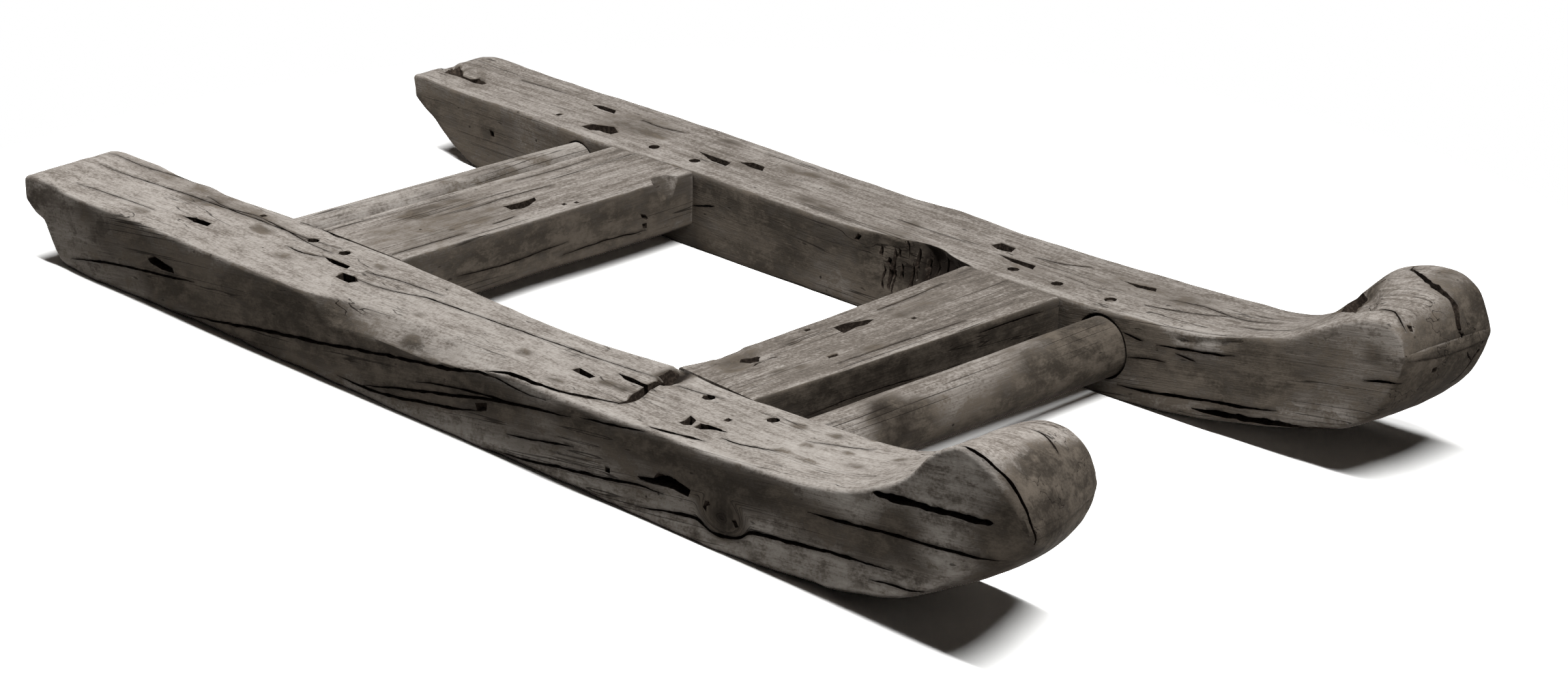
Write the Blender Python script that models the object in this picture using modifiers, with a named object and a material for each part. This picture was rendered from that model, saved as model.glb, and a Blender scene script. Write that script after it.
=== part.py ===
"""A hewn wooden transport sled: two runners with upturned noses, two plank cross beams
tenoned and pegged into them, and two round bars seated in sockets."""

import math

import bmesh
import bpy
from mathutils import Vector
from mathutils.geometry import interpolate_bezier

# Overall frame. -Y is the front, +X the sled's left, Z is up from the floor.
RUNNER_LENGTH = 1.730
INNER_GAP = 0.480
RIGHT_RUNNER_WIDTH = 0.144
LEFT_RUNNER_WIDTH = 0.136
RUNNER_HEIGHT = 0.100
LEFT_NOSE_SETBACK = 0.019
LEFT_HEEL_SETBACK = 0.013

# Noses. Each outline is a list of (distance back from its own tip, height above the floor),
# from the chin over the tip, brow and crown to the nape and neck.
RIGHT_OUTER_NOSE = ((0.050, 0.104), (0, 0.150), (0.030, 0.204), (0.080, 0.224), (0.124, 0.209), (0.160, 0.171))
RIGHT_INNER_NOSE = ((0.027, 0.093), (0, 0.153), (0.014, 0.196), (0.044, 0.208), (0.085, 0.196), (0.125, 0.165))
LEFT_OUTER_NOSE = ((0.027, 0.104), (0, 0.163), (0.014, 0.208), (0.046, 0.221), (0.085, 0.211), (0.150, 0.172))
LEFT_INNER_NOSE = ((0.044, 0.084), (0, 0.166), (0.008, 0.190), (0.040, 0.201), (0.090, 0.180), (0.150, 0.148))
RIGHT_INNER_NOSE_SETBACK = 0.046
LEFT_INNER_NOSE_SETBACK = 0.009
TOE_SWEEP = ((0.365, 0), (0.212, 0.021), (0.135, 0.052))
# The neck's heights are its rise above the deck.
NECK_SWEEP = ((0.245, 0.027), (0.330, 0.013), (0.445, 0.0055), (0.565, 0))

# Heel, undercut below a short upright face.
HEEL_FACE_HEIGHT = 0.038
HEEL_FACE_LEAN = 0.004
RIGHT_HEEL_UNDERCUT = 0.064
LEFT_HEEL_UNDERCUT = 0.120

# Worn arrises.
RUNNER_ARRIS = 0.007
BEAM_ARRIS = 0.003
SPANS_PER_CURVE = 4

# Cross beams, whose tops lie flush with the runners. Widths are those at each end. Front
# members, slots and channels are placed back from the nose tip, rear ones ahead of the heel.
BEAM_THICKNESS = 0.068
REAR_BEAM_AHEAD = 0.502
REAR_BEAM_RIGHT_WIDTH = 0.150
REAR_BEAM_LEFT_WIDTH = 0.146
FRONT_BEAM_BACK = 0.6005
FRONT_BEAM_RIGHT_WIDTH = 0.120
FRONT_BEAM_LEFT_WIDTH = 0.152
TENON_THICKNESS = 0.030
TENON_LENGTH = 0.050
TENON_SHOULDER = 0.010
BEAM_SLOT_LENGTH = 0.045
BEAM_SLOT_WIDTH = 0.010
REAR_BEAM_SLOT = (0.002, -0.014)
FRONT_BEAM_SLOT = (0.008, 0.028)

# A scoop through the rear beam's front top edge, worn by a rope.
NOTCH_X = 0.196
NOTCH_RADIUS = 0.022
NOTCH_BACK = 0.019
NOTCH_DOWN = 0.025
NOTCH_SEGMENTS = 24

# Round bars, each end's middle at its own drop below the deck, as the poles taper and the
# sled has settled.
FRONT_BAR_BACK = 0.459
FRONT_BAR_RIGHT_RADIUS = 0.0350
FRONT_BAR_LEFT_RADIUS = 0.0362
FRONT_BAR_RIGHT_DROP = 0.0365
FRONT_BAR_LEFT_DROP = 0.0400
REAR_BAR_AHEAD = 0.362
REAR_BAR_RADIUS = 0.027
REAR_BAR_RIGHT_DROP = 0.0320
REAR_BAR_LEFT_DROP = 0.0380
SOCKET_DEPTH = 0.045
BAR_SEGMENTS = 40

# Pegs down through the tenons and bar ends. Each place is an offset along Y from its
# beam or bar, and the peg heads have sunk below the deck.
PEG_RADIUS = 0.0065
PEG_INSET = 0.030
PEG_SINK = 0.012
PEG_HOLE_DEPTH = 0.080
PEG_SEGMENTS = 16
REAR_BEAM_RIGHT_PEGS = (0.050, -0.011)
REAR_BEAM_LEFT_PEGS = (0.032, -0.045)
FRONT_BEAM_RIGHT_PEGS = (-0.022,)
FRONT_BEAM_LEFT_PEGS = (0.027, -0.043)
FRONT_BAR_RIGHT_PEGS = (0.018,)
FRONT_BAR_LEFT_PEGS = (0.015,)

# Lashing channels, cut from the deck down and out through the runner's outer side.
LASHING_INSET = 0.057
LASHING_SLOT_WIDTH = 0.010
LASHING_SIDE_HEIGHT = 0.013
LASHING_SIDE_DROP = 0.045
LASHING_LENGTH = 0.050
REAR_LASHING_RIGHT_AHEAD = 0.294
REAR_LASHING_LEFT_AHEAD = 0.304
FRONT_LASHING_RIGHT_BACK = 0.523
FRONT_LASHING_LEFT_BACK = 0.479

# Slots in the decks, as (inset from the inner face, offset along Y from their beam or bar,
# length, depth). The one at the rear bar has worn through into the bar's socket.
DECK_SLOT_WIDTH = 0.010
REAR_BEAM_RIGHT_SLOTS = ((0.062, -0.030, 0.050, 0.038), (0.082, -0.080, 0.034, 0.038))
REAR_BEAM_LEFT_SLOTS = ((0.062, -0.055, 0.052, 0.038), (0.072, -0.110, 0.038, 0.038))
FRONT_BEAM_RIGHT_SLOTS = ((0.078, 0.1265, 0.034, 0.038),)
FRONT_BEAM_LEFT_SLOTS = ((0.075, 0.0845, 0.034, 0.038), (0.064, 0.0435, 0.050, 0.038))
REAR_BAR_LEFT_SLOTS = ((0.027, -0.009, 0.048, 0.018),)

# Gap between pieces that touch, and how far a cutter runs past the face it opens.
FIT = 0.0003
OVERRUN = 0.010
ROUND_END_SEGMENTS = 6

DECK_Z = RUNNER_HEIGHT
SLED_WIDTH = RIGHT_RUNNER_WIDTH + INNER_GAP + LEFT_RUNNER_WIDTH
RIGHT_OUTER_X = -SLED_WIDTH / 2
RIGHT_INNER_X = RIGHT_OUTER_X + RIGHT_RUNNER_WIDTH
LEFT_INNER_X = RIGHT_INNER_X + INNER_GAP
LEFT_OUTER_X = LEFT_INNER_X + LEFT_RUNNER_WIDTH
BEAM_MIDDLE_Z = DECK_Z - BEAM_THICKNESS / 2
FRONT_Y = -RUNNER_LENGTH / 2
REAR_Y = RUNNER_LENGTH / 2

RIGHT = {
    "name": "right",
    "outward": -1,
    "outer_x": RIGHT_OUTER_X,
    "inner_x": RIGHT_INNER_X,
    "tip_y": FRONT_Y,
    "heel_y": REAR_Y,
    "undercut": RIGHT_HEEL_UNDERCUT,
    "outer_nose": RIGHT_OUTER_NOSE,
    "inner_nose": RIGHT_INNER_NOSE,
    "nose_setback": RIGHT_INNER_NOSE_SETBACK,
    "lashings": (("rear", REAR_Y - REAR_LASHING_RIGHT_AHEAD), ("front", FRONT_Y + FRONT_LASHING_RIGHT_BACK)),
}
LEFT = {
    "name": "left",
    "outward": 1,
    "outer_x": LEFT_OUTER_X,
    "inner_x": LEFT_INNER_X,
    "tip_y": FRONT_Y + LEFT_NOSE_SETBACK,
    "heel_y": REAR_Y - LEFT_HEEL_SETBACK,
    "undercut": LEFT_HEEL_UNDERCUT,
    "outer_nose": LEFT_OUTER_NOSE,
    "inner_nose": LEFT_INNER_NOSE,
    "nose_setback": LEFT_INNER_NOSE_SETBACK,
    "lashings": (("rear", REAR_Y - REAR_LASHING_LEFT_AHEAD), ("front", FRONT_Y + FRONT_LASHING_LEFT_BACK)),
}


def clear_scene():
    for obj in list(bpy.data.objects):
        bpy.data.objects.remove(obj)


def new_collection(name):
    collection = bpy.data.collections.new(name)
    bpy.context.scene.collection.children.link(collection)
    return collection


def wood(name, color, roughness):
    """Weathered bare timber."""
    material = bpy.data.materials.new(name)
    material.use_nodes = True
    shader = material.node_tree.nodes["Principled BSDF"]
    shader.inputs["Base Color"].default_value = (*color, 1)
    shader.inputs["Roughness"].default_value = roughness
    shader.inputs["Metallic"].default_value = 0
    material.diffuse_color = (*color, 1)
    return material


def smooth_through(points, spans):
    """Points on a smooth curve through the given ones, ends included."""
    points = [Vector(point) for point in points]
    before = [points[0], *points[:-1]]
    after = [*points[1:], points[-1]]
    slopes = [(b - a) / 2 for a, b in zip(before, after)]
    curve = [points[0]]
    for i in range(len(points) - 1):
        start_handle = points[i] + slopes[i] / 3
        end_handle = points[i + 1] - slopes[i + 1] / 3
        curve += interpolate_bezier(points[i], start_handle, end_handle, points[i + 1], spans + 1)[1:]
    return curve


def runner_profile(side, nose, nose_setback):
    """A runner's side outline in (y, z): toe sweep, upturned nose, neck, deck and undercut heel."""
    sweep = [(side["tip_y"] + back, z) for back, z in TOE_SWEEP]
    sweep += [(side["tip_y"] + nose_setback + back, z) for back, z in nose]
    sweep += [(side["tip_y"] + back, DECK_Z + rise) for back, rise in NECK_SWEEP]
    heel = [
        (side["heel_y"], DECK_Z),
        (side["heel_y"] - HEEL_FACE_LEAN, DECK_Z - HEEL_FACE_HEIGHT),
        (side["heel_y"] - side["undercut"], 0),
    ]
    return smooth_through(sweep, SPANS_PER_CURVE) + [Vector(point) for point in heel]


def loft_across(name, profiles, positions, collection):
    """A closed body between two side outlines of as many points, at two places along X."""
    mesh = bpy.data.meshes.new(name)
    work = bmesh.new()
    loops = [[work.verts.new((x, *point)) for point in profile] for profile, x in zip(profiles, positions)]
    first, second = loops
    work.faces.new(first)
    work.faces.new(list(reversed(second)))
    for i in range(len(first)):
        j = (i + 1) % len(first)
        work.faces.new((first[j], first[i], second[i], second[j]))
    bmesh.ops.recalc_face_normals(work, faces=work.faces)
    work.to_mesh(mesh)
    work.free()
    obj = bpy.data.objects.new(name, mesh)
    collection.objects.link(obj)
    return obj


def prism(name, outline, thickness, collection):
    """A flat outline in XY, extruded to its thickness about its own plane."""
    curve = bpy.data.curves.new(name, "CURVE")
    curve.dimensions = "2D"
    curve.fill_mode = "BOTH"
    curve.extrude = thickness / 2
    spline = curve.splines.new("POLY")
    spline.points.add(len(outline) - 1)
    for point, place in zip(spline.points, outline):
        point.co = (*place, 0, 1)
    spline.use_cyclic_u = True
    guide = bpy.data.objects.new(name + "_outline", curve)
    collection.objects.link(guide)
    bpy.context.view_layer.update()
    graph = bpy.context.evaluated_depsgraph_get()
    mesh = bpy.data.meshes.new_from_object(guide.evaluated_get(graph))
    mesh.name = name
    work = bmesh.new()
    work.from_mesh(mesh)
    bmesh.ops.remove_doubles(work, verts=work.verts, dist=0.00001)
    bmesh.ops.recalc_face_normals(work, faces=work.faces)
    work.to_mesh(mesh)
    work.free()
    obj = bpy.data.objects.new(name, mesh)
    obj.matrix_world = guide.matrix_world
    collection.objects.link(obj)
    bpy.data.objects.remove(guide)
    return obj


def stadium(length, width):
    """A slot outline along X with round ends."""
    radius = width / 2
    outline = []
    for turn, middle in ((-math.pi / 2, length / 2 - radius), (math.pi / 2, radius - length / 2)):
        for step in range(ROUND_END_SEGMENTS + 1):
            angle = turn + math.pi * step / ROUND_END_SEGMENTS
            outline.append((middle + radius * math.cos(angle), radius * math.sin(angle)))
    return outline


def block(name, low, high, collection):
    """A box between two corners."""
    low, high = Vector(low), Vector(high)
    bpy.ops.mesh.primitive_cube_add(size=1, location=(low + high) / 2)
    obj = bpy.context.active_object
    obj.name = name
    obj.scale = high - low
    bpy.ops.object.transform_apply(location=False, rotation=False, scale=True)
    move_to(obj, collection)
    return obj


def rod(name, start, end, radii, segments, collection):
    """A round rod between two points, with its own radius at each."""
    start, end = Vector(start), Vector(end)
    span = end - start
    bpy.ops.mesh.primitive_cone_add(
        vertices=segments, radius1=radii[0], radius2=radii[1], depth=span.length, location=(start + end) / 2
    )
    obj = bpy.context.active_object
    obj.name = name
    obj.rotation_euler = Vector((0, 0, 1)).rotation_difference(span).to_euler()
    move_to(obj, collection)
    return obj


def move_to(obj, collection):
    for owner in obj.users_collection:
        owner.objects.unlink(obj)
    collection.objects.link(obj)


def soften(obj, width, segments=2):
    """Rounds every arris sharper than the outline's own curve."""
    bevel = obj.modifiers.new("worn_arris", "BEVEL")
    bevel.width = width
    bevel.segments = segments
    bevel.limit_method = "ANGLE"
    bevel.angle_limit = math.radians(40)


def boolean(obj, other, operation):
    modifier = obj.modifiers.new(other.name, "BOOLEAN")
    modifier.operation = operation
    modifier.solver = "EXACT"
    modifier.object = other


def as_cutter(obj):
    obj.hide_render = True
    obj.display_type = "WIRE"
    return obj


def cut(obj, cutter):
    boolean(obj, as_cutter(cutter), "DIFFERENCE")


def finish(obj, material):
    obj.data.materials.clear()
    obj.data.materials.append(material)
    obj.data.shade_smooth()
    obj.data.set_sharp_from_angle(angle=math.radians(35))


def deck_slot(name, x, y, length, width, depth, cutters):
    """An upright slot cutter that opens the deck, its length along Y."""
    cutter = prism(name, stadium(length, width), depth + OVERRUN, cutters)
    cutter.location = (x, y, DECK_Z - depth / 2 + OVERRUN / 2)
    cutter.rotation_euler = (0, 0, math.pi / 2)
    return cutter


def side_slot(name, side, y, depth, cutters):
    """A slot cutter that runs in from a runner's outer side, its length along Y."""
    cutter = prism(name, stadium(LASHING_LENGTH, LASHING_SIDE_HEIGHT), depth + OVERRUN, cutters)
    middle_x = side["outer_x"] - side["outward"] * (depth - OVERRUN) / 2
    cutter.location = (middle_x, y, DECK_Z - LASHING_SIDE_DROP)
    cutter.rotation_euler = (math.pi / 2, 0, math.pi / 2)
    return cutter


def lashing_channel(runner, side, label, y, cutters):
    """A rope channel, down from the deck and out through the runner's outer side."""
    name = f"cut_{side['name']}_{label}_lashing"
    x = side["outer_x"] - side["outward"] * LASHING_INSET
    depth = LASHING_SIDE_DROP + LASHING_SIDE_HEIGHT / 2
    cut(runner, deck_slot(name + "_top", x, y, LASHING_LENGTH, LASHING_SLOT_WIDTH, depth, cutters))
    reach = LASHING_INSET + LASHING_SLOT_WIDTH / 2
    cut(runner, side_slot(name + "_side", side, y, reach, cutters))


def beam_end_width(side, beam):
    return beam["right_width"] if side is RIGHT else beam["left_width"]


def tenon_corners(side, beam, spare):
    """Corners of the tenon in a runner, grown by spare all round."""
    width = beam_end_width(side, beam) - 2 * TENON_SHOULDER
    root_x = side["inner_x"] - side["outward"] * OVERRUN
    end_x = side["inner_x"] + side["outward"] * (TENON_LENGTH + spare)
    low_x, high_x = sorted((root_x, end_x))
    half = (Vector((0, width, TENON_THICKNESS)) / 2) + Vector((0, spare, spare))
    middle = Vector((0, beam["y"], BEAM_MIDDLE_Z))
    return middle - half + Vector((low_x, 0, 0)), middle + half + Vector((high_x, 0, 0))


def peg_places(side, members):
    """Every peg that goes through these beams and bars in a runner, as (name, x, y)."""
    x = side["inner_x"] + side["outward"] * PEG_INSET
    for member in members:
        for number, offset in enumerate(member["pegs"][side["name"]], 1):
            yield f"{member['label']}_{side['name']}_{number}", x, member["y"] + offset


def peg_hole(name, x, y, cutters):
    start = (x, y, DECK_Z - PEG_HOLE_DEPTH)
    end = (x, y, DECK_Z + OVERRUN)
    return rod(name, start, end, (PEG_RADIUS + FIT,) * 2, PEG_SEGMENTS, cutters)


def make_runner(side, beams, bars, parts, cutters):
    """A runner with its nose, mortises, bar sockets, lashing channels, slots and peg holes."""
    name = f"runner_{side['name']}"
    outer = runner_profile(side, side["outer_nose"], 0)
    inner = runner_profile(side, side["inner_nose"], side["nose_setback"])
    runner = loft_across(name, (outer, inner), (side["outer_x"], side["inner_x"]), parts)
    soften(runner, RUNNER_ARRIS)
    for beam in beams:
        low, high = tenon_corners(side, beam, FIT)
        cut(runner, block(f"cut_{side['name']}_{beam['name']}_mortise", low, high, cutters))
    for bar in bars:
        cut(runner, bar_socket(side, bar, cutters))
    for label, y in side["lashings"]:
        lashing_channel(runner, side, label, y, cutters)
    for member in beams + bars:
        for number, (inset, offset, length, depth) in enumerate(member["slots"][side["name"]], 1):
            x = side["inner_x"] + side["outward"] * inset
            slot_name = f"cut_{side['name']}_{member['label']}_slot_{number}"
            cut(runner, deck_slot(slot_name, x, member["y"] + offset, length, DECK_SLOT_WIDTH, depth, cutters))
    for peg_name, x, y in peg_places(side, beams + bars):
        cut(runner, peg_hole(f"cut_runner_{peg_name}", x, y, cutters))
    return runner


def edge_notch(name, x, edge_y, cutters):
    """A round scoop, from the deck behind a beam's front edge down to its front face."""
    back = Vector((x, edge_y + NOTCH_BACK, DECK_Z))
    down = Vector((x, edge_y, DECK_Z - NOTCH_DOWN))
    along = (down - back).normalized()
    middle = (back + down) / 2 + Vector((0, along.z, -along.y)) * NOTCH_RADIUS
    reach = along * BEAM_THICKNESS
    return rod(name, middle - reach, middle + reach, (NOTCH_RADIUS,) * 2, NOTCH_SEGMENTS, cutters)


def make_beam(beam, parts, cutters):
    """A plank between the runners with a shouldered tenon at each end."""
    right_x = RIGHT_INNER_X + FIT
    left_x = LEFT_INNER_X - FIT
    half_right = beam["right_width"] / 2
    half_left = beam["left_width"] / 2
    outline = (
        (right_x, beam["y"] - half_right),
        (left_x, beam["y"] - half_left),
        (left_x, beam["y"] + half_left),
        (right_x, beam["y"] + half_right),
    )
    plank = prism(beam["name"], outline, BEAM_THICKNESS, parts)
    plank.location.z = BEAM_MIDDLE_Z
    soften(plank, BEAM_ARRIS)
    for side in (RIGHT, LEFT):
        low, high = tenon_corners(side, beam, 0)
        boolean(plank, as_cutter(block(f"{beam['name']}_{side['name']}_tenon", low, high, cutters)), "UNION")
    slot_x, slot_offset = beam["slot"]
    slot = prism(f"cut_{beam['name']}_slot", stadium(BEAM_SLOT_LENGTH, BEAM_SLOT_WIDTH), 2 * BEAM_THICKNESS, cutters)
    slot.location = (slot_x, beam["y"] + slot_offset, BEAM_MIDDLE_Z)
    cut(plank, slot)
    if beam["notched"]:
        share = (NOTCH_X - right_x) / (left_x - right_x)
        edge_y = beam["y"] - half_right * (1 - share) - half_left * share
        cut(plank, edge_notch(f"cut_{beam['name']}_notch", NOTCH_X, edge_y, cutters))
    cut_peg_holes(plank, beam, cutters)
    return plank


def cut_peg_holes(obj, member, cutters):
    """The holes through a beam's tenons or a bar's ends, in line with those in the runners."""
    for side in (RIGHT, LEFT):
        for peg_name, x, y in peg_places(side, (member,)):
            cut(obj, peg_hole(f"cut_{member['name']}_{peg_name}", x, y, cutters))


def bar_line(bar, reach, spare):
    """End points and radii of a bar that reaches into both runners, with a clearance."""
    right = Vector((RIGHT_INNER_X, bar["y"], DECK_Z - bar["right_drop"]))
    left = Vector((LEFT_INNER_X, bar["y"], DECK_Z - bar["left_drop"]))
    along = (left - right).normalized()
    ends = (right - along * (reach + spare), left + along * (reach + spare))
    radii = (bar["right_radius"] + spare, bar["left_radius"] + spare)
    return ends, radii


def bar_socket(side, bar, cutters):
    """A blind round socket from a runner's inner face, concentric with its bar."""
    (right_end, left_end), radii = bar_line(bar, SOCKET_DEPTH, FIT)
    end = right_end if side is RIGHT else left_end
    middle = (right_end + left_end) / 2
    middle_radius = sum(radii) / 2
    end_radius = radii[0] if side is RIGHT else radii[1]
    name = f"cut_{side['name']}_{bar['name']}_socket"
    if side is RIGHT:
        return rod(name, end, middle, (end_radius, middle_radius), BAR_SEGMENTS, cutters)
    return rod(name, middle, end, (middle_radius, end_radius), BAR_SEGMENTS, cutters)


def make_bar(bar, parts, cutters):
    ends, radii = bar_line(bar, SOCKET_DEPTH, 0)
    obj = rod(bar["name"], *ends, radii, BAR_SEGMENTS, parts)
    cut_peg_holes(obj, bar, cutters)
    return obj


def make_pegs(members, parts, material):
    for side in (RIGHT, LEFT):
        for peg_name, x, y in peg_places(side, members):
            start = (x, y, DECK_Z - PEG_HOLE_DEPTH + FIT)
            end = (x, y, DECK_Z - PEG_SINK)
            peg = rod(f"peg_{peg_name}", start, end, (PEG_RADIUS,) * 2, PEG_SEGMENTS, parts)
            finish(peg, material)


def main():
    clear_scene()
    parts = new_collection("wooden_sled")
    cutters = new_collection("cutters")
    beams = (
        {
            "name": "cross_beam_rear",
            "label": "rear_beam",
            "y": REAR_Y - REAR_BEAM_AHEAD,
            "right_width": REAR_BEAM_RIGHT_WIDTH,
            "left_width": REAR_BEAM_LEFT_WIDTH,
            "slot": REAR_BEAM_SLOT,
            "notched": True,
            "pegs": {"right": REAR_BEAM_RIGHT_PEGS, "left": REAR_BEAM_LEFT_PEGS},
            "slots": {"right": REAR_BEAM_RIGHT_SLOTS, "left": REAR_BEAM_LEFT_SLOTS},
        },
        {
            "name": "cross_beam_front",
            "label": "front_beam",
            "y": FRONT_Y + FRONT_BEAM_BACK,
            "right_width": FRONT_BEAM_RIGHT_WIDTH,
            "left_width": FRONT_BEAM_LEFT_WIDTH,
            "slot": FRONT_BEAM_SLOT,
            "notched": False,
            "pegs": {"right": FRONT_BEAM_RIGHT_PEGS, "left": FRONT_BEAM_LEFT_PEGS},
            "slots": {"right": FRONT_BEAM_RIGHT_SLOTS, "left": FRONT_BEAM_LEFT_SLOTS},
        },
    )
    bars = (
        {
            "name": "round_bar_rear",
            "label": "rear_bar",
            "y": REAR_Y - REAR_BAR_AHEAD,
            "right_drop": REAR_BAR_RIGHT_DROP,
            "left_drop": REAR_BAR_LEFT_DROP,
            "right_radius": REAR_BAR_RADIUS,
            "left_radius": REAR_BAR_RADIUS,
            "pegs": {"right": (), "left": ()},
            "slots": {"right": (), "left": REAR_BAR_LEFT_SLOTS},
        },
        {
            "name": "round_bar_front",
            "label": "front_bar",
            "y": FRONT_Y + FRONT_BAR_BACK,
            "right_drop": FRONT_BAR_RIGHT_DROP,
            "left_drop": FRONT_BAR_LEFT_DROP,
            "right_radius": FRONT_BAR_RIGHT_RADIUS,
            "left_radius": FRONT_BAR_LEFT_RADIUS,
            "pegs": {"right": FRONT_BAR_RIGHT_PEGS, "left": FRONT_BAR_LEFT_PEGS},
            "slots": {"right": (), "left": ()},
        },
    )
    for side, color in ((RIGHT, (0.215, 0.185, 0.162)), (LEFT, (0.195, 0.168, 0.148))):
        runner = make_runner(side, beams, bars, parts, cutters)
        finish(runner, wood(runner.name, color, 0.82))
    for beam, color in zip(beams, ((0.225, 0.195, 0.170), (0.210, 0.182, 0.160))):
        plank = make_beam(beam, parts, cutters)
        finish(plank, wood(plank.name, color, 0.84))
    for bar, color in zip(bars, ((0.235, 0.203, 0.178), (0.205, 0.177, 0.155))):
        pole = make_bar(bar, parts, cutters)
        finish(pole, wood(pole.name, color, 0.78))
    make_pegs(beams + bars, parts, wood("peg", (0.085, 0.068, 0.055), 0.85))


main()
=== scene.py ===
"""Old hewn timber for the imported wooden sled, on a pale studio floor.

Each runner, beam, bar and peg is skinned from measured outlines, worn by noise, and then
cut with its mortises, slots, checks and pits. The grain, stains and fibres are procedural.
"""

import itertools
import math

import bpy
import numpy as np
from bpy.props import FloatProperty, FloatVectorProperty, PointerProperty
from mathutils import Matrix, Vector
from mathutils.bvhtree import BVHTree
from mathutils.kdtree import KDTree


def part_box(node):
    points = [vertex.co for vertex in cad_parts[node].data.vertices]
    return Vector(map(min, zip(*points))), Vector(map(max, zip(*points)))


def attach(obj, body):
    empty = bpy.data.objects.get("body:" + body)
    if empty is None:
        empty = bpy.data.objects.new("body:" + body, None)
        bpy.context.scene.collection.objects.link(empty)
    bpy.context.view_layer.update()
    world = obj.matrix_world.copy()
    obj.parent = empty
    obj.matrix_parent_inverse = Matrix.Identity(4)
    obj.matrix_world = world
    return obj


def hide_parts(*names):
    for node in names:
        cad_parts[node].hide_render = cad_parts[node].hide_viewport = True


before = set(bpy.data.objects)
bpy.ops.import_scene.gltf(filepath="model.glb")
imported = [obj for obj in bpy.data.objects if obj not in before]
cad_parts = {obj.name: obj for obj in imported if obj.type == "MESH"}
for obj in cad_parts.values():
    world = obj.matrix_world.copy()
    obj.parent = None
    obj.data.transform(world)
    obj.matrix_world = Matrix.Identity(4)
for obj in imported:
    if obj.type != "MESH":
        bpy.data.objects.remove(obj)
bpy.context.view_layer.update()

bl_info = {
    "name": "Weathered Wooden Sled",
    "version": (1, 0, 0),
    "blender": (4, 5, 0),
    "location": "3D View > Sidebar > Sled",
    "description": "Builds the visible timber of an old hewn sled over its packed model",
    "category": "Add Mesh",
}

MM = 0.001
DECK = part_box("cross_beam_rear")[1].z

# Joinery, in metres: the tenons as they are in the solids, and the room round what is seated.
TENON_SHOULDER = 0.010
TENON_HALF_THICKNESS = 0.015
MORTISE_SPARE = 0.0035
SOCKET_SPARE = 0.003
PEG_HOLE_SPARE = 0.002
RUNNER_PEG_ROOM = 0.0008
BEAM_PEG_ROOM = 0.0004
# The distance from the sled's middle at which a mortise cutter ends, and the length of a socket
# cutter from its bar's end.
MORTISE_MOUTH = 0.20
SOCKET_MOUTH = 0.12
# The runners' outermost side and deck before the right one's shoulder is planed, in millimetres.
SHOULDER_SIDE = -382.0
SHOULDER_DECK = 102.0
# Where the noses round off: the distances ahead of the middle, and how gently they set in.
CHIN_START, CHIN_EASE = 0.735, 0.06
CREST_START, CREST_EASE = 0.77, 0.05
CROWN_START, CROWN_EASE = 0.72, 0.08
CROWN_HEIGHT = 0.006
# How far rubbed edges, which also carry a painted highlight, and the dirt beside a check,
# spread from their lines. Ahead of the last worn edge, a place along Y, no edge is rubbed or
# highlighted.
EDGE_WEAR_AND_HIGHLIGHT_REACH = 0.013
CHECK_DIRT_REACH = 0.008
LAST_WORN_AND_HIGHLIT_EDGE = -0.8
# The lowest that a runner's sole comes to the floor, in metres.
FLOOR_CLEARANCE = 0.0003
# Faces that meet at more than this angle, in degrees, are shaded with a crisp edge.
SHARP_ANGLE = 38
BARE_WOOD_GLOSS = 0.04
# The one peg whose head stands proud of the deck, and paler than the others.
PROUD_PEG = "peg_front_bar_left_1"

# The stage: each lamp's name, place and share of the light, the lamps' width and length, the
# floor's colour as it lights the sled, where the floor fades to the backdrop, and the camera's
# place and its turn, tilt and roll in degrees.
LAMPS = (("front_lamp", (-0.20, -1.5, 2.1), 0.49), ("rear_lamp", (-0.20, 1.3, 2.1), 0.46))
LAMP_SIZE = (0.25, 1.5)
FLOOR_BOUNCE = (0.5, 0.49, 0.475, 1)
FLOOR_FADE = (1.0, 1.25)
VIEW_PLACE = (-3.0133, -3.2369, 1.7296)
VIEW_ANGLES = (-44.121, 21.246, 0.187)

# Side outlines of each runner, in millimetres. Each row is a rib across the side face, from
# the heel to the nose tip: y and z of its top end, then y and z of its bottom end. The straight
# stretch between heel and neck is the same on all of them.
STRAIGHT_RIBS = (
    (600, 100, 600, 0), (300, 100, 300, 0), (0, 100, 0, 0), (-200, 100, -200, 0), (-320, 101, -320, 0),
)
RIGHT_OUTER_RIBS = (
    (860, 98, 854, 67), (850, 101, 842, 59), (829, 102, 815, 49), (808, 101, 805, 30), (791, 100, 789, 6),
    (760, 100, 755, 0), *STRAIGHT_RIBS, (-421, 105, -421, 0), (-480, 109, -480, 1), (-530, 112, -535, 5),
    (-580, 119, -590, 10), (-625, 130, -640, 19), (-660, 145, -685, 32), (-690, 161, -722, 49),
    (-712, 180, -752, 65), (-732, 201, -778, 79), (-757, 217, -803, 95), (-785, 223, -826, 113),
    (-812, 217, -845, 125), (-836, 201, -857, 136), (-854, 180, -863, 147), (-862, 163, -864, 154),
)
RIGHT_INNER_RIBS = (
    (862, 99, 856, 67), (852, 101, 844, 59), (831, 102, 817, 49), (808, 101, 805, 30), (790, 100, 789, 6),
    (760, 100, 755, 0), *STRAIGHT_RIBS, (-421, 105, -421, 0), (-480, 108, -480, 2), (-528, 111, -530, 6),
    (-572, 117, -580, 12), (-608, 127, -625, 20), (-638, 140, -662, 29), (-664, 156, -694, 38),
    (-686, 172, -722, 48), (-710, 187, -748, 61), (-736, 199, -770, 76), (-762, 206, -789, 93),
    (-788, 206, -803, 110), (-808, 195, -814, 127), (-819, 177, -820, 142), (-822, 163, -821, 152),
)
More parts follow.
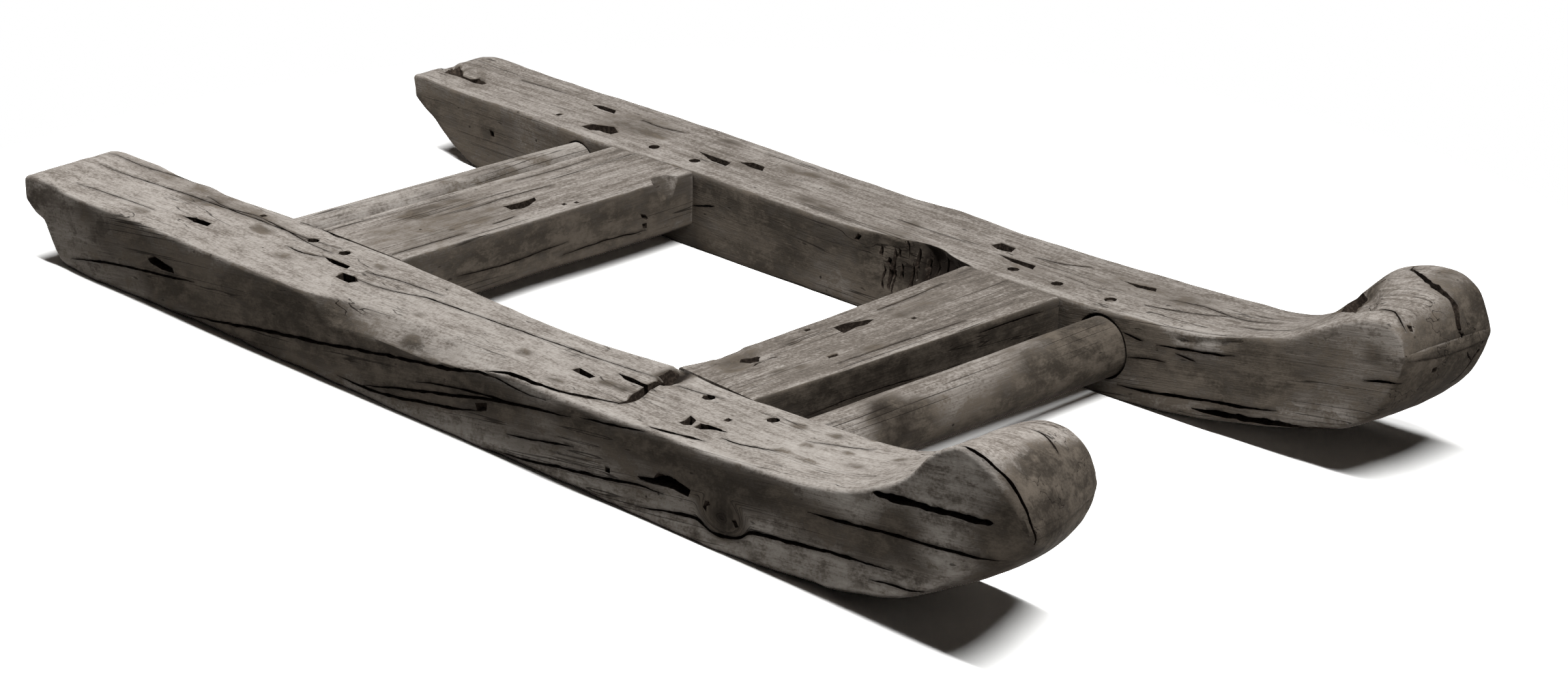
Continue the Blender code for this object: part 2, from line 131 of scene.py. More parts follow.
LEFT_OUTER_RIBS = (
    (850, 99, 844, 70), (840, 101, 832, 60), (815, 102, 800, 44), (791, 101, 783, 30),
    (772, 100, 760, 17), (740, 100, 724, 1), *STRAIGHT_RIBS, (-421, 104, -421, 0), (-480, 107, -480, 1),
    (-528, 109, -530, 4), (-575, 111, -585, 9), (-622, 121, -640, 20), (-660, 143, -688, 37),
    (-690, 176, -728, 51), (-722, 203, -762, 67), (-756, 216, -790, 82), (-787, 222, -810, 97),
    (-812, 221, -827, 113), (-829, 211, -837, 129), (-840, 191, -843, 145), (-846, 175, -846, 156),
    (-847, 168, -847, 161),
)
LEFT_INNER_RIBS = (
    (852, 99, 846, 70), (842, 101, 834, 60), (817, 102, 802, 44), (791, 101, 783, 30),
    (772, 100, 760, 17), (740, 100, 724, 1), *STRAIGHT_RIBS, (-421, 104, -421, 0), (-480, 107, -480, 4),
    (-528, 110, -530, 11), (-575, 117, -580, 19), (-625, 130, -640, 30), (-672, 143, -690, 43),
    (-710, 161, -728, 52), (-740, 177, -760, 63), (-768, 190, -786, 79), (-794, 198, -806, 98),
    (-814, 199, -819, 117), (-828, 190, -828, 133), (-834, 180, -833, 147), (-836, 173, -836, 158),
    (-837, 169, -837, 164),
)

# Plan edges of each runner, as y and x in millimetres.
RIGHT_TOP_OUTER = (
    (870, -374), (846, -378), (809, -373), (770, -379), (737, -381), (684, -379), (600, -379),
    (489, -381), (359, -381), (267, -381), (75, -380), (-38, -378), (-130, -379), (-219, -381),
    (-309, -374), (-412, -377), (-500, -378), (-600, -379), (-870, -379),
)
RIGHT_TOP_INNER = (
    (870, -240), (827, -239), (778, -234), (731, -238), (687, -239), (657, -236), (626, -240),
    (592, -240), (555, -237), (508, -234), (400, -235), (291, -234), (200, -238), (108, -241), (4, -245),
    (-59, -243), (-120, -238), (-158, -234), (-194, -229), (-250, -235), (-323, -237), (-392, -235),
    (-451, -236), (-540, -237), (-870, -236),
)
RIGHT_BOTTOM_OUTER = (
    (870, -379), (634, -380), (503, -378), (372, -379), (171, -381), (4, -381), (-113, -382),
    (-329, -382), (-429, -382), (-508, -380), (-870, -378),
)
RIGHT_BOTTOM_INNER = ((870, -240), (300, -238), (-300, -237), (-870, -236))
LEFT_TOP_OUTER = (
    (870, 374), (841, 378), (788, 381), (708, 382), (551, 382), (393, 382), (290, 379), (191, 376),
    (98, 377), (29, 376), (-53, 382), (-150, 375), (-233, 377), (-294, 379), (-352, 382), (-436, 382),
    (-520, 381), (-870, 380),
)
LEFT_TOP_INNER = (
    (870, 250), (800, 246), (759, 244), (628, 246), (560, 242), (488, 240), (430, 241), (291, 246),
    (144, 240), (31, 241), (-20, 246), (-68, 253), (-105, 262), (-130, 262), (-160, 251), (-189, 246),
    (-338, 245), (-400, 245), (-480, 245), (-870, 244),
)
LEFT_BOTTOM_OUTER = ((870, 378), (300, 379), (-300, 380), (-870, 379))
LEFT_BOTTOM_INNER = ((870, 247), (600, 244), (-8, 243), (-480, 245), (-870, 244))

# Front and rear edges of the cross beams' tops, as share of the span from the right and y.
REAR_BEAM_FRONT_EDGE = ((0, 289), (0.25, 287), (0.5, 289), (0.8, 288), (1, 290))
REAR_BEAM_REAR_EDGE = ((0, 441), (0.3, 439), (0.6, 437), (1, 435))
FRONT_BEAM_FRONT_EDGE = ((0, -322), (0.3, -329), (0.6, -333), (0.85, -337), (1, -338))
FRONT_BEAM_REAR_EDGE = (
    (0, -195), (0.08, -203), (0.15, -201), (0.32, -199), (0.5, -198), (0.78, -194), (1, -189),
)

# The worn facet along the right runner's outer top edge: y, its lower edge's z on the side
# and its upper edge's x on the deck.
SHOULDER_FACET = (
    (285, 101, -381), (267, 97, -379), (244, 78, -371), (198, 78, -357), (134, 80, -351), (45, 82, -348),
    (-20, 90, -351), (-60, 96, -357), (-90, 101, -381),
)

# Checks in the timber, by face, in millimetres: width, depth and path. A deck's path is x and y,
# a side's y and z, a front's x and z, and a nose's x, y and z.
RIGHT_CHECKS = (
    ("deck", (
        (1.7, 6, (
            (-288, 823), (-284, 759), (-276, 665), (-272, 583), (-269, 514), (-267, 426), (-261, 370),
        )),
        (1.3, 4, ((-254, 852), (-251, 791), (-244, 735), (-239, 688), (-232, 643))),
        (1.6, 5, ((-262, 630), (-269, 580), (-262, 530), (-266, 478), (-275, 415), (-278, 361))),
        (1.7, 6, ((-301, 420), (-301, 382), (-294, 357))),
        (2.0, 7, (
            (-311, 274), (-310, 240), (-302, 200), (-292, 171), (-288, 117), (-285, 51), (-281, -24),
            (-276, -96), (-272, -158), (-267, -206),
        )),
        (1.4, 4, ((-289, 284), (-278, 225), (-273, 159))),
        (2.4, 8, ((-238, 474), (-231, 434), (-236, 404), (-231, 380))),
        (5.6, 14, ((-378, -42), (-375, -80), (-374, -134), (-369, -170), (-357, -205), (-347, -235))),
        (9.5, 14, ((-351, -232), (-335, -235), (-323, -231), (-294, -220), (-276, -216), (-248, -210))),
        (5.5, 10, ((-289, -166), (-292, -196), (-293, -226))),
        (4.0, 9, ((-370, -305), (-365, -333), (-361, -355), (-357, -378))),
        (1.8, 5, ((-339, -385), (-339, -412), (-335, -433), (-329, -460))),
        (1.3, 4, ((-287, -462), (-274, -499), (-261, -534))),
        (1.3, 3, ((-267, -238), (-263, -270), (-257, -300))),
        (1.2, 3, ((-348, 790), (-340, 700), (-338, 640))),
    )),
    ("right_side", (
        (2.6, 8, ((761, 17), (692, 30), (622, 40), (567, 46), (500, 55))),
        (3.4, 10, (
            (551, 4), (504, 9), (424, 21), (334, 35), (246, 47), (172, 59), (77, 73), (7, 82), (-39, 91),
            (-65, 92), (-118, 89), (-150, 92),
        )),
        (3.0, 9, ((223, 14), (175, 14), (127, 17), (67, 26), (9, 35), (-37, 45))),
        (3.0, 8, ((175, 16), (78, 37), (8, 51), (-60, 65), (-138, 77), (-193, 85))),
        (2.2, 7, ((78, 48), (19, 59), (-38, 66), (-105, 72), (-160, 79))),
        (2.2, 6, ((-214, 90), (-257, 94), (-304, 99))),
        (1.9, 5, ((-81, 31), (-148, 42), (-197, 51))),
        (2.8, 8, ((-60, 5), (-103, 9), (-191, 22), (-245, 29), (-303, 37), (-339, 39))),
        (3.4, 11, (
            (-297, 12), (-360, 23), (-395, 27), (-413, 21), (-439, 21), (-459, 27), (-470, 35),
            (-495, 41), (-529, 45), (-577, 51), (-634, 57), (-680, 61),
        )),
        (3.2, 9, ((-558, 87), (-615, 93), (-670, 100), (-725, 105), (-779, 111), (-823, 114))),
        (2.0, 5, ((-648, 41), (-676, 45), (-704, 47), (-731, 52))),
    )),
    ("nose", (
        (3.0, 9, (
            (-374, -763, 221), (-378, -791, 224), (-377, -806, 221), (-376, -820, 214), (-374, -832, 206),
            (-374, -842, 195), (-374, -852, 183), (-375, -862, 168), (-372, -863, 146),
        )),
        (2.5, 5, ((-279, -780, 213), (-284, -795, 211), (-290, -808, 206), (-294, -817, 199))),
    )),
)
LEFT_CHECKS = (
    ("deck", (
        (1.6, 4, ((337, 732), (340, 689), (342, 644))),
        (1.6, 4, ((337, 488), (335, 441), (342, 411))),
        (1.8, 5, ((323, -230), (331, -275), (343, -300))),
        (2.0, 5, ((285, -437), (291, -472), (305, -509), (321, -544))),
    )),
    ("nose", (
        (1.6, 4, ((320, -446, 108), (325, -491, 111), (318, -546, 117), (324, -598, 126))),
        (1.6, 4, ((292, -577, 122), (282, -631, 135), (272, -676, 148))),
    )),
    ("deck", (
        (2.6, 8, ((282, 818), (295, 793), (299, 756))),
    )),
    ("left_inner", (
        (2.2, 6, ((287, 57), (261, 63), (246, 66))),
        (2.6, 7, ((-437, 86), (-469, 84))),
        (2.6, 7, ((-489, 84), (-525, 90), (-561, 95), (-604, 103))),
        (2.0, 5, ((-518, 82), (-548, 80))),
        (1.6, 5, ((-446, 57), (-475, 64), (-504, 67))),
        (3.4, 9, ((-432, 19), (-477, 24), (-516, 30), (-574, 40), (-630, 48), (-667, 56))),
        (6.5, 14, ((-545, 23), (-593, 29), (-659, 39), (-714, 48), (-750, 58))),
        (2.4, 6, ((-786, 127), (-808, 132), (-832, 135))),
    )),
    ("nose", (
        (6.0, 9, (
            (373, -747, 202), (352, -775, 212), (339, -795, 215), (334, -807, 214), (329, -818, 210),
            (329, -827, 205), (327, -835, 197), (324, -841, 184), (328, -843, 172), (334, -841, 159),
        )),
        (1.8, 4, ((268, -782, 201), (266, -803, 204), (255, -821, 197), (253, -830, 191))),
        (3.0, 8, (
            (368, -845, 162), (364, -843, 153), (357, -840, 145), (348, -834, 130), (341, -828, 119),
            (332, -826, 116),
        )),
        (2.0, 6, ((326, -841, 161), (344, -840, 148), (355, -838, 137))),
    )),
)
REAR_BEAM_CHECKS = (
    ("deck", (
        (1.8, 5, ((-232, 308), (-190, 309), (-150, 309), (-115, 308))),
        (1.7, 5, ((-69, 310), (-49, 311), (-31, 314))),
        (1.2, 3, ((-60, 372), (20, 376), (80, 373))),
        (1.1, 3, ((60, 418), (120, 415), (180, 417))),
    )),
    ("front", (
        (1.6, 4, ((-150, 60), (-60, 57), (30, 61))),
        (1.5, 4, ((20, 45), (100, 47), (160, 44))),
    )),
)
FRONT_BEAM_CHECKS = (
    ("deck", (
        (1.2, 3, ((-90, -310), (20, -312), (110, -316))),
        (1.1, 3, ((60, -222), (120, -220), (180, -214))),
    )),
    ("front", (
        (2.0, 5, ((108, 92), (160, 93), (215, 92))),
        (1.6, 4, ((-160, 62), (-60, 66), (40, 61))),
    )),
    ("deck", (
        (2.2, 5, ((-126, -249), (-146, -243), (-170, -247))),
    )),
)
# Blunt gashes: the same, with ends that don't taper.
RIGHT_GASHES = (
    ("right_side", (
        (7.5, 17, ((-652, 139), (-679, 141), (-724, 145), (-769, 150), (-804, 154), (-817, 157))),
    )),
)

# Wells, by face: depth, taper and outline.
RIGHT_WELLS = (
    ("deck", (
        (20, 0.7, ((-339, -318), (-329, -317), (-316, -311), (-321, -325), (-334, -333), (-340, -327))),
        (50, 0.9, (
            (-337, -340), (-324, -336), (-321, -349), (-322, -369), (-324, -379), (-329, -357),
            (-337, -349),
        )),
        (38, 0.85, ((-319, -121), (-309, -123), (-311, -137), (-313, -154), (-322, -154), (-321, -138))),
        (38, 0.85, ((-324, 296), (-309, 300), (-307, 280), (-314, 265), (-325, 269), (-325, 288))),
        (38, 0.85, ((-292, 359), (-290, 344), (-290, 310), (-298, 307), (-299, 335))),
        (50, 0.9, ((-327, 595), (-320, 576), (-318, 547), (-328, 542), (-331, 565))),
        (8, 0.6, ((-259, 531), (-251, 530), (-251, 523), (-259, 524))),
        (5, 0.6, ((-302, -347), (-294, -347), (-294, -355), (-302, -355))),
    )),
    ("right_side", (
        (30, 0.8, (
            (596, 60), (582, 67), (566, 65), (544, 61), (542, 55), (564, 53), (580, 55), (591, 56),
        )),
        (30, 0.8, (
            (-296, 47), (-322, 52), (-327, 59), (-350, 62), (-382, 57), (-379, 48), (-350, 49),
            (-324, 46), (-303, 44),
        )),
        (8, 0.6, ((-26, 52), (-47, 58), (-46, 48), (-29, 43))),
        (10, 0.6, ((-247, 43), (-255, 43), (-255, 37), (-247, 37))),
        (5, 0.5, ((-402, 44), (-405, 52), (-411, 54), (-413, 50), (-408, 47), (-407, 40))),
        (4, 0.5, ((-446, 43), (-452, 45), (-457, 38), (-452, 36), (-449, 40))),
    )),
    ("deck", (
        (10, 0.6, ((-263, -202), (-240, -195), (-230, -201), (-238, -208), (-247, -215), (-262, -213))),
        (6, 0.6, ((-276, -212), (-268, -207), (-262, -216), (-270, -222))),
    )),
)
LEFT_WELLS = (
    ("deck", (
        (50, 0.9, ((334, 584), (341, 570), (340, 543), (329, 534), (329, 561))),
        (30, 0.9, (
            (262, 525), (278, 519), (284, 505), (290, 490), (280, 471), (268, 473), (267, 495),
            (261, 505),
        )),
        (38, 0.85, ((303, 341), (304, 313), (303, 282), (289, 276), (290, 304))),
        (38, 0.85, ((312, 273), (323, 262), (323, 240), (309, 229), (309, 253))),
        (38, 0.85, ((318, -160), (330, -166), (328, -191), (315, -196), (312, -176))),
        (38, 0.85, ((300, -190), (302, -218), (302, -248), (291, -253), (293, -217))),
        (50, 0.9, ((334, -359), (336, -384), (340, -405), (331, -411), (328, -385))),
        (5, 0.6, ((270, 586), (277, 585), (278, 578), (270, 579))),
        (11, 0.6, (
            (285, 835), (302, 848), (316, 855), (322, 846), (313, 828), (300, 812), (303, 798),
            (309, 788), (304, 757), (294, 762), (292, 786), (286, 809),
        )),
    )),
    ("left_inner", (
        (10, 0.6, ((688, 63), (680, 62), (678, 55), (686, 55))),
        (8, 0.6, ((-8, 96), (-14, 94), (-9, 86), (-3, 87))),
    )),
    ("nose", (
        (26, 0.5, (
            (370, -674, 158), (340, -681, 159), (307, -696, 161), (290, -712, 167), (320, -716, 177),
            (345, -706, 174), (366, -690, 166),
        )),
        (9, 0.6, ((349, -724, 189), (358, -726, 189), (357, -731, 186), (349, -730, 186))),
        (4, 0.5, ((258, -826, 197), (263, -828, 195), (261, -831, 190), (257, -830, 191))),
        (4, 0.5, ((286, -836, 149), (292, -836, 149), (292, -836, 143), (286, -836, 143))),
    )),
)
REAR_BEAM_WELLS = (
    ("deck", (
        (62, 0.8, (
            (-18, 352), (-1, 350), (14, 349), (33, 352), (28, 343), (8, 333), (-6, 331), (-18, 336),
        )),
        (5, 0.5, ((40, 310), (46, 310), (46, 304), (40, 304))),
        (4, 0.5, ((56, 305), (62, 305), (62, 299), (56, 299))),
    )),
    ("front", (
        (6, 0.5, ((153, 54), (161, 54), (161, 47), (154, 48))),
        (6, 0.5, ((150, 68), (158, 66), (164, 59), (160, 58), (154, 62))),
    )),
)
FRONT_BEAM_WELLS = (
    ("deck", (
        (62, 0.8, (
            (-14, -225), (6, -226), (23, -233), (38, -239), (21, -245), (1, -243), (-19, -247),
            (-17, -237),
        )),
        (12, 0.6, ((-152, -217), (-140, -225), (-136, -232), (-146, -240), (-156, -236), (-160, -224))),
        (4, 0.6, ((-84, -286), (-70, -287), (-70, -292), (-86, -291))),
        (4, 0.6, ((70, -266), (76, -266), (76, -271), (70, -271))),
        (4, 0.6, ((-46, -209), (-37, -210), (-39, -215), (-46, -214))),
    )),
)

# Shallow hollows pressed or worn into a surface, by face: depth, rim width and outline.
RIGHT_HOLLOWS = (
    ("deck", (
        (9, 14, ((-281, -211), (-254, -195), (-222, -188), (-218, -215), (-250, -236), (-280, -231))),
        (3, 10, ((-366, -395), (-366, -470), (-352, -475), (-350, -400))),
    )),
)
LEFT_HOLLOWS = (
    ("left_inner", (
        (13, 16, ((-95, 108), (-195, 108), (-200, 36), (-150, 30), (-112, 48))),
        (5, 12, ((-20, 104), (-110, 106), (-118, 40), (-60, 38), (-28, 60))),
    )),
    ("deck", (
        (9, 10, (
            (279, 838), (300, 860), (326, 862), (326, 838), (318, 800), (312, 750), (286, 752),
            (282, 800),
        )),
    )),
    ("left_nape", (
        (15, 14, (
            (300, -688), (340, -680), (372, -684), (352, -712), (312, -752), (268, -784), (262, -752),
        )),
    )),
    ("left_inner", (
        (5, 6, ((-500, 100), (-590, 122), (-640, 134), (-628, 126), (-590, 108), (-500, 92))),
    )),
)
FRONT_BEAM_HOLLOWS = (
    ("deck", (
        (5, 10, (
            (-169, -190), (-133, -186), (-128, -222), (-128, -244), (-155, -254), (-182, -248),
            (-200, -236), (-186, -205),
        )),
        (3, 8, ((-95, -222), (-70, -222), (-70, -234), (-95, -234))),
    )),
)

# Soft patches, by face: the middle, the reach both ways and the amount. It is pale wood where
# the amount is below zero, dark stains up to one, and black rot above one. Patches that darken
# faces looking forward, and a few others noted below, are painted shade rather than stains, and
# above one there they paint deep shade. Those of a nose have a middle in space and one reach.
RIGHT_PATCHES = (
    # Painted shade: this patch darkens the nose's forward face.
    ("front", ((-308, 150, 130, 90, 0.95),)),
    ("right_side", (
        (300, 50, 420, 70, 0.12), (-95, 92.5, 55, 3, -1.0), (-431, 41, 30, 20, 0.9),
        (-430, 42, 14, 10, 1.6), (720, 40, 130, 40, 0.2), (632, 82, 34, 18, 0.5), (728, 90, 26, 12, 0.45),
        (480, 52, 160, 55, 0.56), (568, 40, 34, 22, 0.5), (424, 20, 50, 20, 0.5),
        (300, 55, 110, 55, 0.62), (221, 60, 50, 30, 0.7), (125, 45, 80, 30, 0.72), (20, 60, 90, 28, 0.68),
        (-70, 72, 60, 16, 0.55), (-205, 82, 44, 17, 0.72), (-130, 45, 70, 22, 0.36),
        (-300, 60, 80, 40, 0.42), (-277, 79, 30, 12, 0.5), (-330, 85, 44, 14, 0.66),
        (-401, 75, 45, 24, 0.6), (-470, 85, 46, 20, 0.5), (-431, 40, 24, 18, 0.55),
        (-519, 90, 34, 18, 0.5), (-567, 80, 40, 26, 0.52), (-625, 75, 44, 22, 0.45),
        (-688, 112, 34, 28, 0.6), (-660, 85, 40, 18, 0.42), (-720, 78, 30, 10, 0.34),
        (-560, 30, 120, 26, -0.35), (-760, 88, 55, 24, -0.4), (-785, 188, 50, 26, -0.55),
        (-560, 112, 40, 12, -0.3), (-640, 122, 50, 14, -0.5), (80, 8, 160, 10, -0.3),
        (790, 75, 60, 22, 0.12), (-250, 20, 90, 14, -0.25),
    )),
    ("deck", (
        (-246, -212, 22, 16, 1.85), (-375, -215, 5, 110, -0.8), (-371, -440, 8, 120, -0.6),
        (-261, -422, 9, 14, 0.5), (-255, -475, 8, 14, 0.55), (-297, -472, 7, 10, 0.4),
        (-236, -508, 6, 11, 0.5), (-325, -462, 6, 14, 0.4), (-328, -500, 6, 20, 0.35),
        (-285, -520, 6, 10, 0.4), (-311, -555, 8, 16, 0.35), (-276, -589, 8, 12, 0.45),
        (-322, -44, 9, 14, 0.5), (-332, 130, 8, 12, 0.4), (-372, 96, 8, 16, 0.5),
        (-266, 283, 7, 14, 0.35), (-327, 398, 9, 16, 0.45), (-288, 489, 10, 20, 0.45),
        (-281, 632, 10, 24, 0.35), (-352, 649, 8, 16, 0.4), (-315, -205, 9, 16, 0.5),
        (-318, -176, 8, 14, 0.5), (-353, -129, 7, 16, 0.4), (-246, -214, 24, 20, 0.75),
        (-250, 720, 16, 130, 0.3), (-262, 560, 20, 90, 0.3), (-320, 60, 60, 190, -0.4),
        (-330, 700, 34, 90, -0.3), (-300, -500, 60, 110, -0.35), (-290, 350, 50, 60, 0.12),
    )),
    # Most dark patches here lie on the nose's forward face and chin and are painted shade, those above one
    # most of all; the pale ones are pale marks.
    ("nose", (
        (-329, -824, 201, 16, 0.5), (-307, -813, 205, 18, 0.5), (-279, -823, 186, 24, 0.5),
        (-376, -850, 168, 26, 0.7), (-372, -828, 128, 36, 0.75), (-330, -852, 150, 46, 0.75),
        (-345, -850, 190, 34, 0.65), (-315, -838, 196, 26, 0.55), (-300, -830, 160, 34, 0.4),
        (-312, -836, 184, 8, -1.0), (-312, -830, 196, 8, -0.8), (-314, -841, 172, 7, -0.9),
        (-330, -856, 158, 50, 1.3), (-318, -838, 195, 30, 1.2), (-260, -800, 120, 40, 0.4),
        (-340, -795, 100, 34, 0.5),
    )),
)
LEFT_PATCHES = (
    ("left_inner", (
        # The first, broad patch darkens the whole inner side as painted shade; the rest are stains, rot and
        # pale marks.
        (100, 50, 1400, 140, 0.42), (-160, 62, 34, 52, 2.0), (-124, 72, 26, 40, 1.85),
        (-192, 50, 26, 50, 1.9), (-75, 62, 60, 44, 0.85), (-88, 64, 24, 26, 1.5), (200, 50, 120, 60, 0.3),
        (-460, 92, 50, 14, 0.6), (-555, 102, 42, 15, -1.0), (-640, 92, 40, 30, 0.55),
        (-500, 60, 60, 16, 0.4), (-640, 110, 50, 26, 0.45), (-700, 66, 40, 12, -0.7),
        (-620, 48, 60, 10, -0.35), (-760, 76, 40, 14, -0.8), (-797, 159, 12, 9, 0.5),
        (760, 70, 120, 50, 0.35), (-560, 60, 120, 26, 0.25), (-750, 130, 60, 40, 0.25),
    )),
    # Painted shade: this patch darkens the nose's forward face.
    ("front", ((310, 140, 130, 90, 0.6),)),
    ("deck", (
        (340, 208, 12, 24, 0.4), (343, 170, 9, 16, 0.45), (341, 126, 8, 16, 0.45),
        (291, 175, 10, 20, 0.35), (271, 107, 10, 24, 0.4), (263, 64, 8, 20, 0.4), (356, 339, 10, 20, 0.4),
        (304, 433, 10, 22, 0.35), (304, -41, 9, 14, 0.35), (310, 480, 50, 60, 0.3),
        (330, -420, 30, 90, 0.3), (290, -260, 30, 60, 0.22), (252, -142, 10, 50, -0.9),
        (300, 20, 60, 160, 0.1), (264, -60, 12, 40, 0.3),
    )),
    ("nose", (
        (352, -840, 190, 26, 0.5), (350, -845, 160, 26, 0.5), (345, -812, 212, 20, 0.4),
        (285, -835, 165, 40, 0.3), (364, -800, 214, 24, 0.3),
    )),
    # Painted shade: this patch darkens the hollow at the nose's root.
    ("left_nape", ((330, -700, 40, 26, 0.9),)),
)
REAR_BEAM_PATCHES = (
    ("front", (
        # The first, broad patch is painted shade over the whole front face; the small ones are stains and
        # pale marks.
        (0, 60, 500, 80, 0.5), (-100, 66, 60, 26, 0.3), (40, 70, 60, 26, 0.4), (110, 60, 30, 20, 0.3),
        (31, 82, 6, 5, -0.9), (10, 83, 6, 5, -0.9), (-43, 79, 6, 5, -0.8), (180, 60, 30, 34, 0.2),
        (-60, 44, 80, 8, -0.2),
    )),
    ("deck", (
        (-105, 414, 18, 9, 0.45), (-120, 395, 16, 8, 0.45), (-46, 409, 12, 8, 0.4),
        (-50, 385, 14, 6, 0.4), (-126, 407, 14, 7, 0.5), (-82, 409, 12, 7, 0.4), (40, 415, 120, 16, 0.2),
        (-120, 350, 110, 60, 0.34), (-40, 300, 160, 10, -0.5), (60, 296, 20, 6, 0.3),
        (215, 292, 20, 12, -0.7),
    )),
)
FRONT_BEAM_PATCHES = (
    ("deck", (
        (-156, -282, 14, 6, 0.45), (-129, -288, 10, 5, 0.4), (-25, -300, 16, 6, 0.4),
        (72, -252, 14, 8, 0.35), (-83, -228, 14, 8, 0.4), (-21, -337, 12, 6, 0.4),
        (120, -240, 50, 26, 0.22), (-100, -300, 80, 16, 0.15), (20, -326, 160, 8, -0.5),
        (-163, -218, 34, 18, 0.6), (-134, -238, 9, 9, -0.9), (-185, -245, 20, 8, 0.5),
    )),
    # Painted shade over the front face, and above one the painted shadow of the front bar.
    ("front", ((0, 60, 300, 80, 0.95), (0, 60, 260, 70, 1.4))),
)
BAR_PATCHES = {
    "round_bar_front": (
        # Painted shade: this patch darkens the lower front of the bar.
        ("front", ((0, 35, 500, 42, 0.6),)),
        ("nose", (
            (-138, -425, 92, 20, 1.45), (-120, -439, 74, 22, 1.5), (-137, -441, 60, 20, 1.45),
            (-128, -432, 84, 30, 1.0), (-90, -440, 66, 20, 0.8), (160, -441, 69, 44, 0.65),
            (107, -435, 78, 36, 0.55), (215, -432, 78, 44, 0.8), (180, -425, 92, 40, 0.5),
            (40, -436, 52, 40, 0.3), (-190, -436, 75, 22, -0.35),
        )),
    ),
    "round_bar_rear": (
        ("nose", ((0, 480, 78, 40, 0.3), (80, 478, 78, 50, 0.4), (160, 478, 76, 40, 0.4))),
    ),
}

# Which way each face looks, and what a face's two places measure.
FACES = {
    "deck": ((0, 0, 1), (0, 1)),
    "right_side": ((-1, 0, 0), (1, 2)),
    "left_inner": ((-1, 0, 0), (1, 2)),
    "left_nape": ((0, 0.45, 0.9), (0, 1)),
    "front": ((0, -1, 0), (0, 2)),
}
# Where a look at each face starts, and about where that face lies, in millimetres.
STANDPOINTS = {
    "deck": (400, 100),
    "right_side": (-600, -380),
    "left_inner": (0, 244),
    "left_nape": (400, 180),
    "front": (-1200, 0),
}


def by_face(groups):
    """Each row of a table that is grouped by face: the face and its values."""
    for face, rows in groups:
        for row in rows:
            yield (face, *row)


def unit(vector):
    """A vector of length 1 along another."""
    vector = np.array(vector, float)
    return vector / np.linalg.norm(vector)


def smooth_between(places, values, at):
    """A smooth curve through (place, value) pairs, read at other places."""
    order = np.argsort(places)
    x = np.asarray(places, float)[order]
    y = np.asarray(values, float)[order]
    slope = np.gradient(y, x)
    at = np.clip(at, x[0], x[-1])
    i = np.clip(np.searchsorted(x, at) - 1, 0, len(x) - 2)
    gap = x[i + 1] - x[i]
    t = (at - x[i]) / gap
    return (
        (2 * t**3 - 3 * t**2 + 1) * y[i]
        + (t**3 - 2 * t**2 + t) * gap * slope[i]
        + (3 * t**2 - 2 * t**3) * y[i + 1]
        + (t**3 - t**2) * gap * slope[i + 1]
    )


def along_edge(edge, at):
    """A measured edge, given as (place, value) pairs in millimetres."""
    return smooth_between([p for p, _ in edge], [v for _, v in edge], at)


def noise(points, size, seed):
    """Smooth noise from -1 to 1 at each point, with bumps of the given size along each axis."""
    places = np.asarray(points, float) / np.asarray(size, float) + seed * 17.37
    cell = np.floor(places)
    t = places - cell
    t = t * t * (3 - 2 * t)
    total = np.zeros(len(places))
    for corner in itertools.product((0, 1), repeat=3):
        weight = np.prod(np.where(np.array(corner) == 1, t, 1 - t), axis=1)
        mixed = np.sin((cell + corner) @ np.array((127.1, 311.7, 74.7)) + seed) * 43758.5453
        total += weight * (2 * (mixed - np.floor(mixed)) - 1)
    return total


def rounded_rings(corners, radii, spans, arc_spans):
    """Rings of points round a row of four-cornered sections, with their corners rounded.

    corners is (sections, 4, 3) and radii (sections, 4). spans gives how many faces lie along
    the sides 0 to 1 and 1 to 2, and the two opposite sides have as many.
    """
    a, b, c, d = (corners[:, k] for k in range(4))
    wide = (np.linalg.norm(b - a, axis=1) + np.linalg.norm(c - d, axis=1)) / 2
    high = (np.linalg.norm(d - a, axis=1) + np.linalg.norm(c - b, axis=1)) / 2
    radii = np.minimum(radii, 0.45 * np.minimum(wide, high)[:, None])
    at_corner = (
        (0, 0, 1, 1, math.pi),
        (1, 0, -1, 1, 1.5 * math.pi),
        (1, 1, -1, -1, 0),
        (0, 1, 1, -1, 0.5 * math.pi),
    )
    arcs = []
    for k, (u0, v0, du, dv, turn) in enumerate(at_corner):
        angle = turn + np.linspace(0, math.pi / 2, arc_spans + 1)
        radius = radii[:, k, None]
        u = u0 + (du + np.cos(angle)) * radius / wide[:, None]
        v = v0 + (dv + np.sin(angle)) * radius / high[:, None]
        arcs.append((u, v))
    us, vs = [], []
    for k in range(4):
        (u, v), (next_u, next_v) = arcs[k], arcs[(k + 1) % 4]
        us.append(u)
        vs.append(v)
        inner = np.linspace(0, 1, spans[k % 2] + 1)[1:-1]
        us.append(u[:, -1:] + (next_u[:, :1] - u[:, -1:]) * inner)
        vs.append(v[:, -1:] + (next_v[:, :1] - v[:, -1:]) * inner)
    u = np.concatenate(us, axis=1)[..., None]
    v = np.concatenate(vs, axis=1)[..., None]
    a, b, c, d = (side[:, None] for side in (a, b, c, d))
    return (1 - u) * (1 - v) * a + u * (1 - v) * b + u * v * c + (1 - u) * v * d


def closed_ends(rings, reach, shrinks=(0.97, 0.9, 0.72, 0.45, 0.18)):
    """The rings with each end closed in by smaller ones, bulging out by its reach."""
    parts = [rings]
    for end, beyond, distance in ((0, 1, reach[0]), (-1, -2, reach[1])):
        ring = rings[end]
        middle = ring.mean(axis=0)
        outward = middle - rings[beyond].mean(axis=0)
        outward /= np.linalg.norm(outward)
        extra = []
        for share in shrinks:
            bulge = outward * distance * math.sqrt(1 - share**4)
            extra.append(middle + (ring - middle) * share + bulge)
        parts = [np.array(extra[::-1]), *parts] if end == 0 else [*parts, np.array(extra)]
    return np.concatenate(parts)


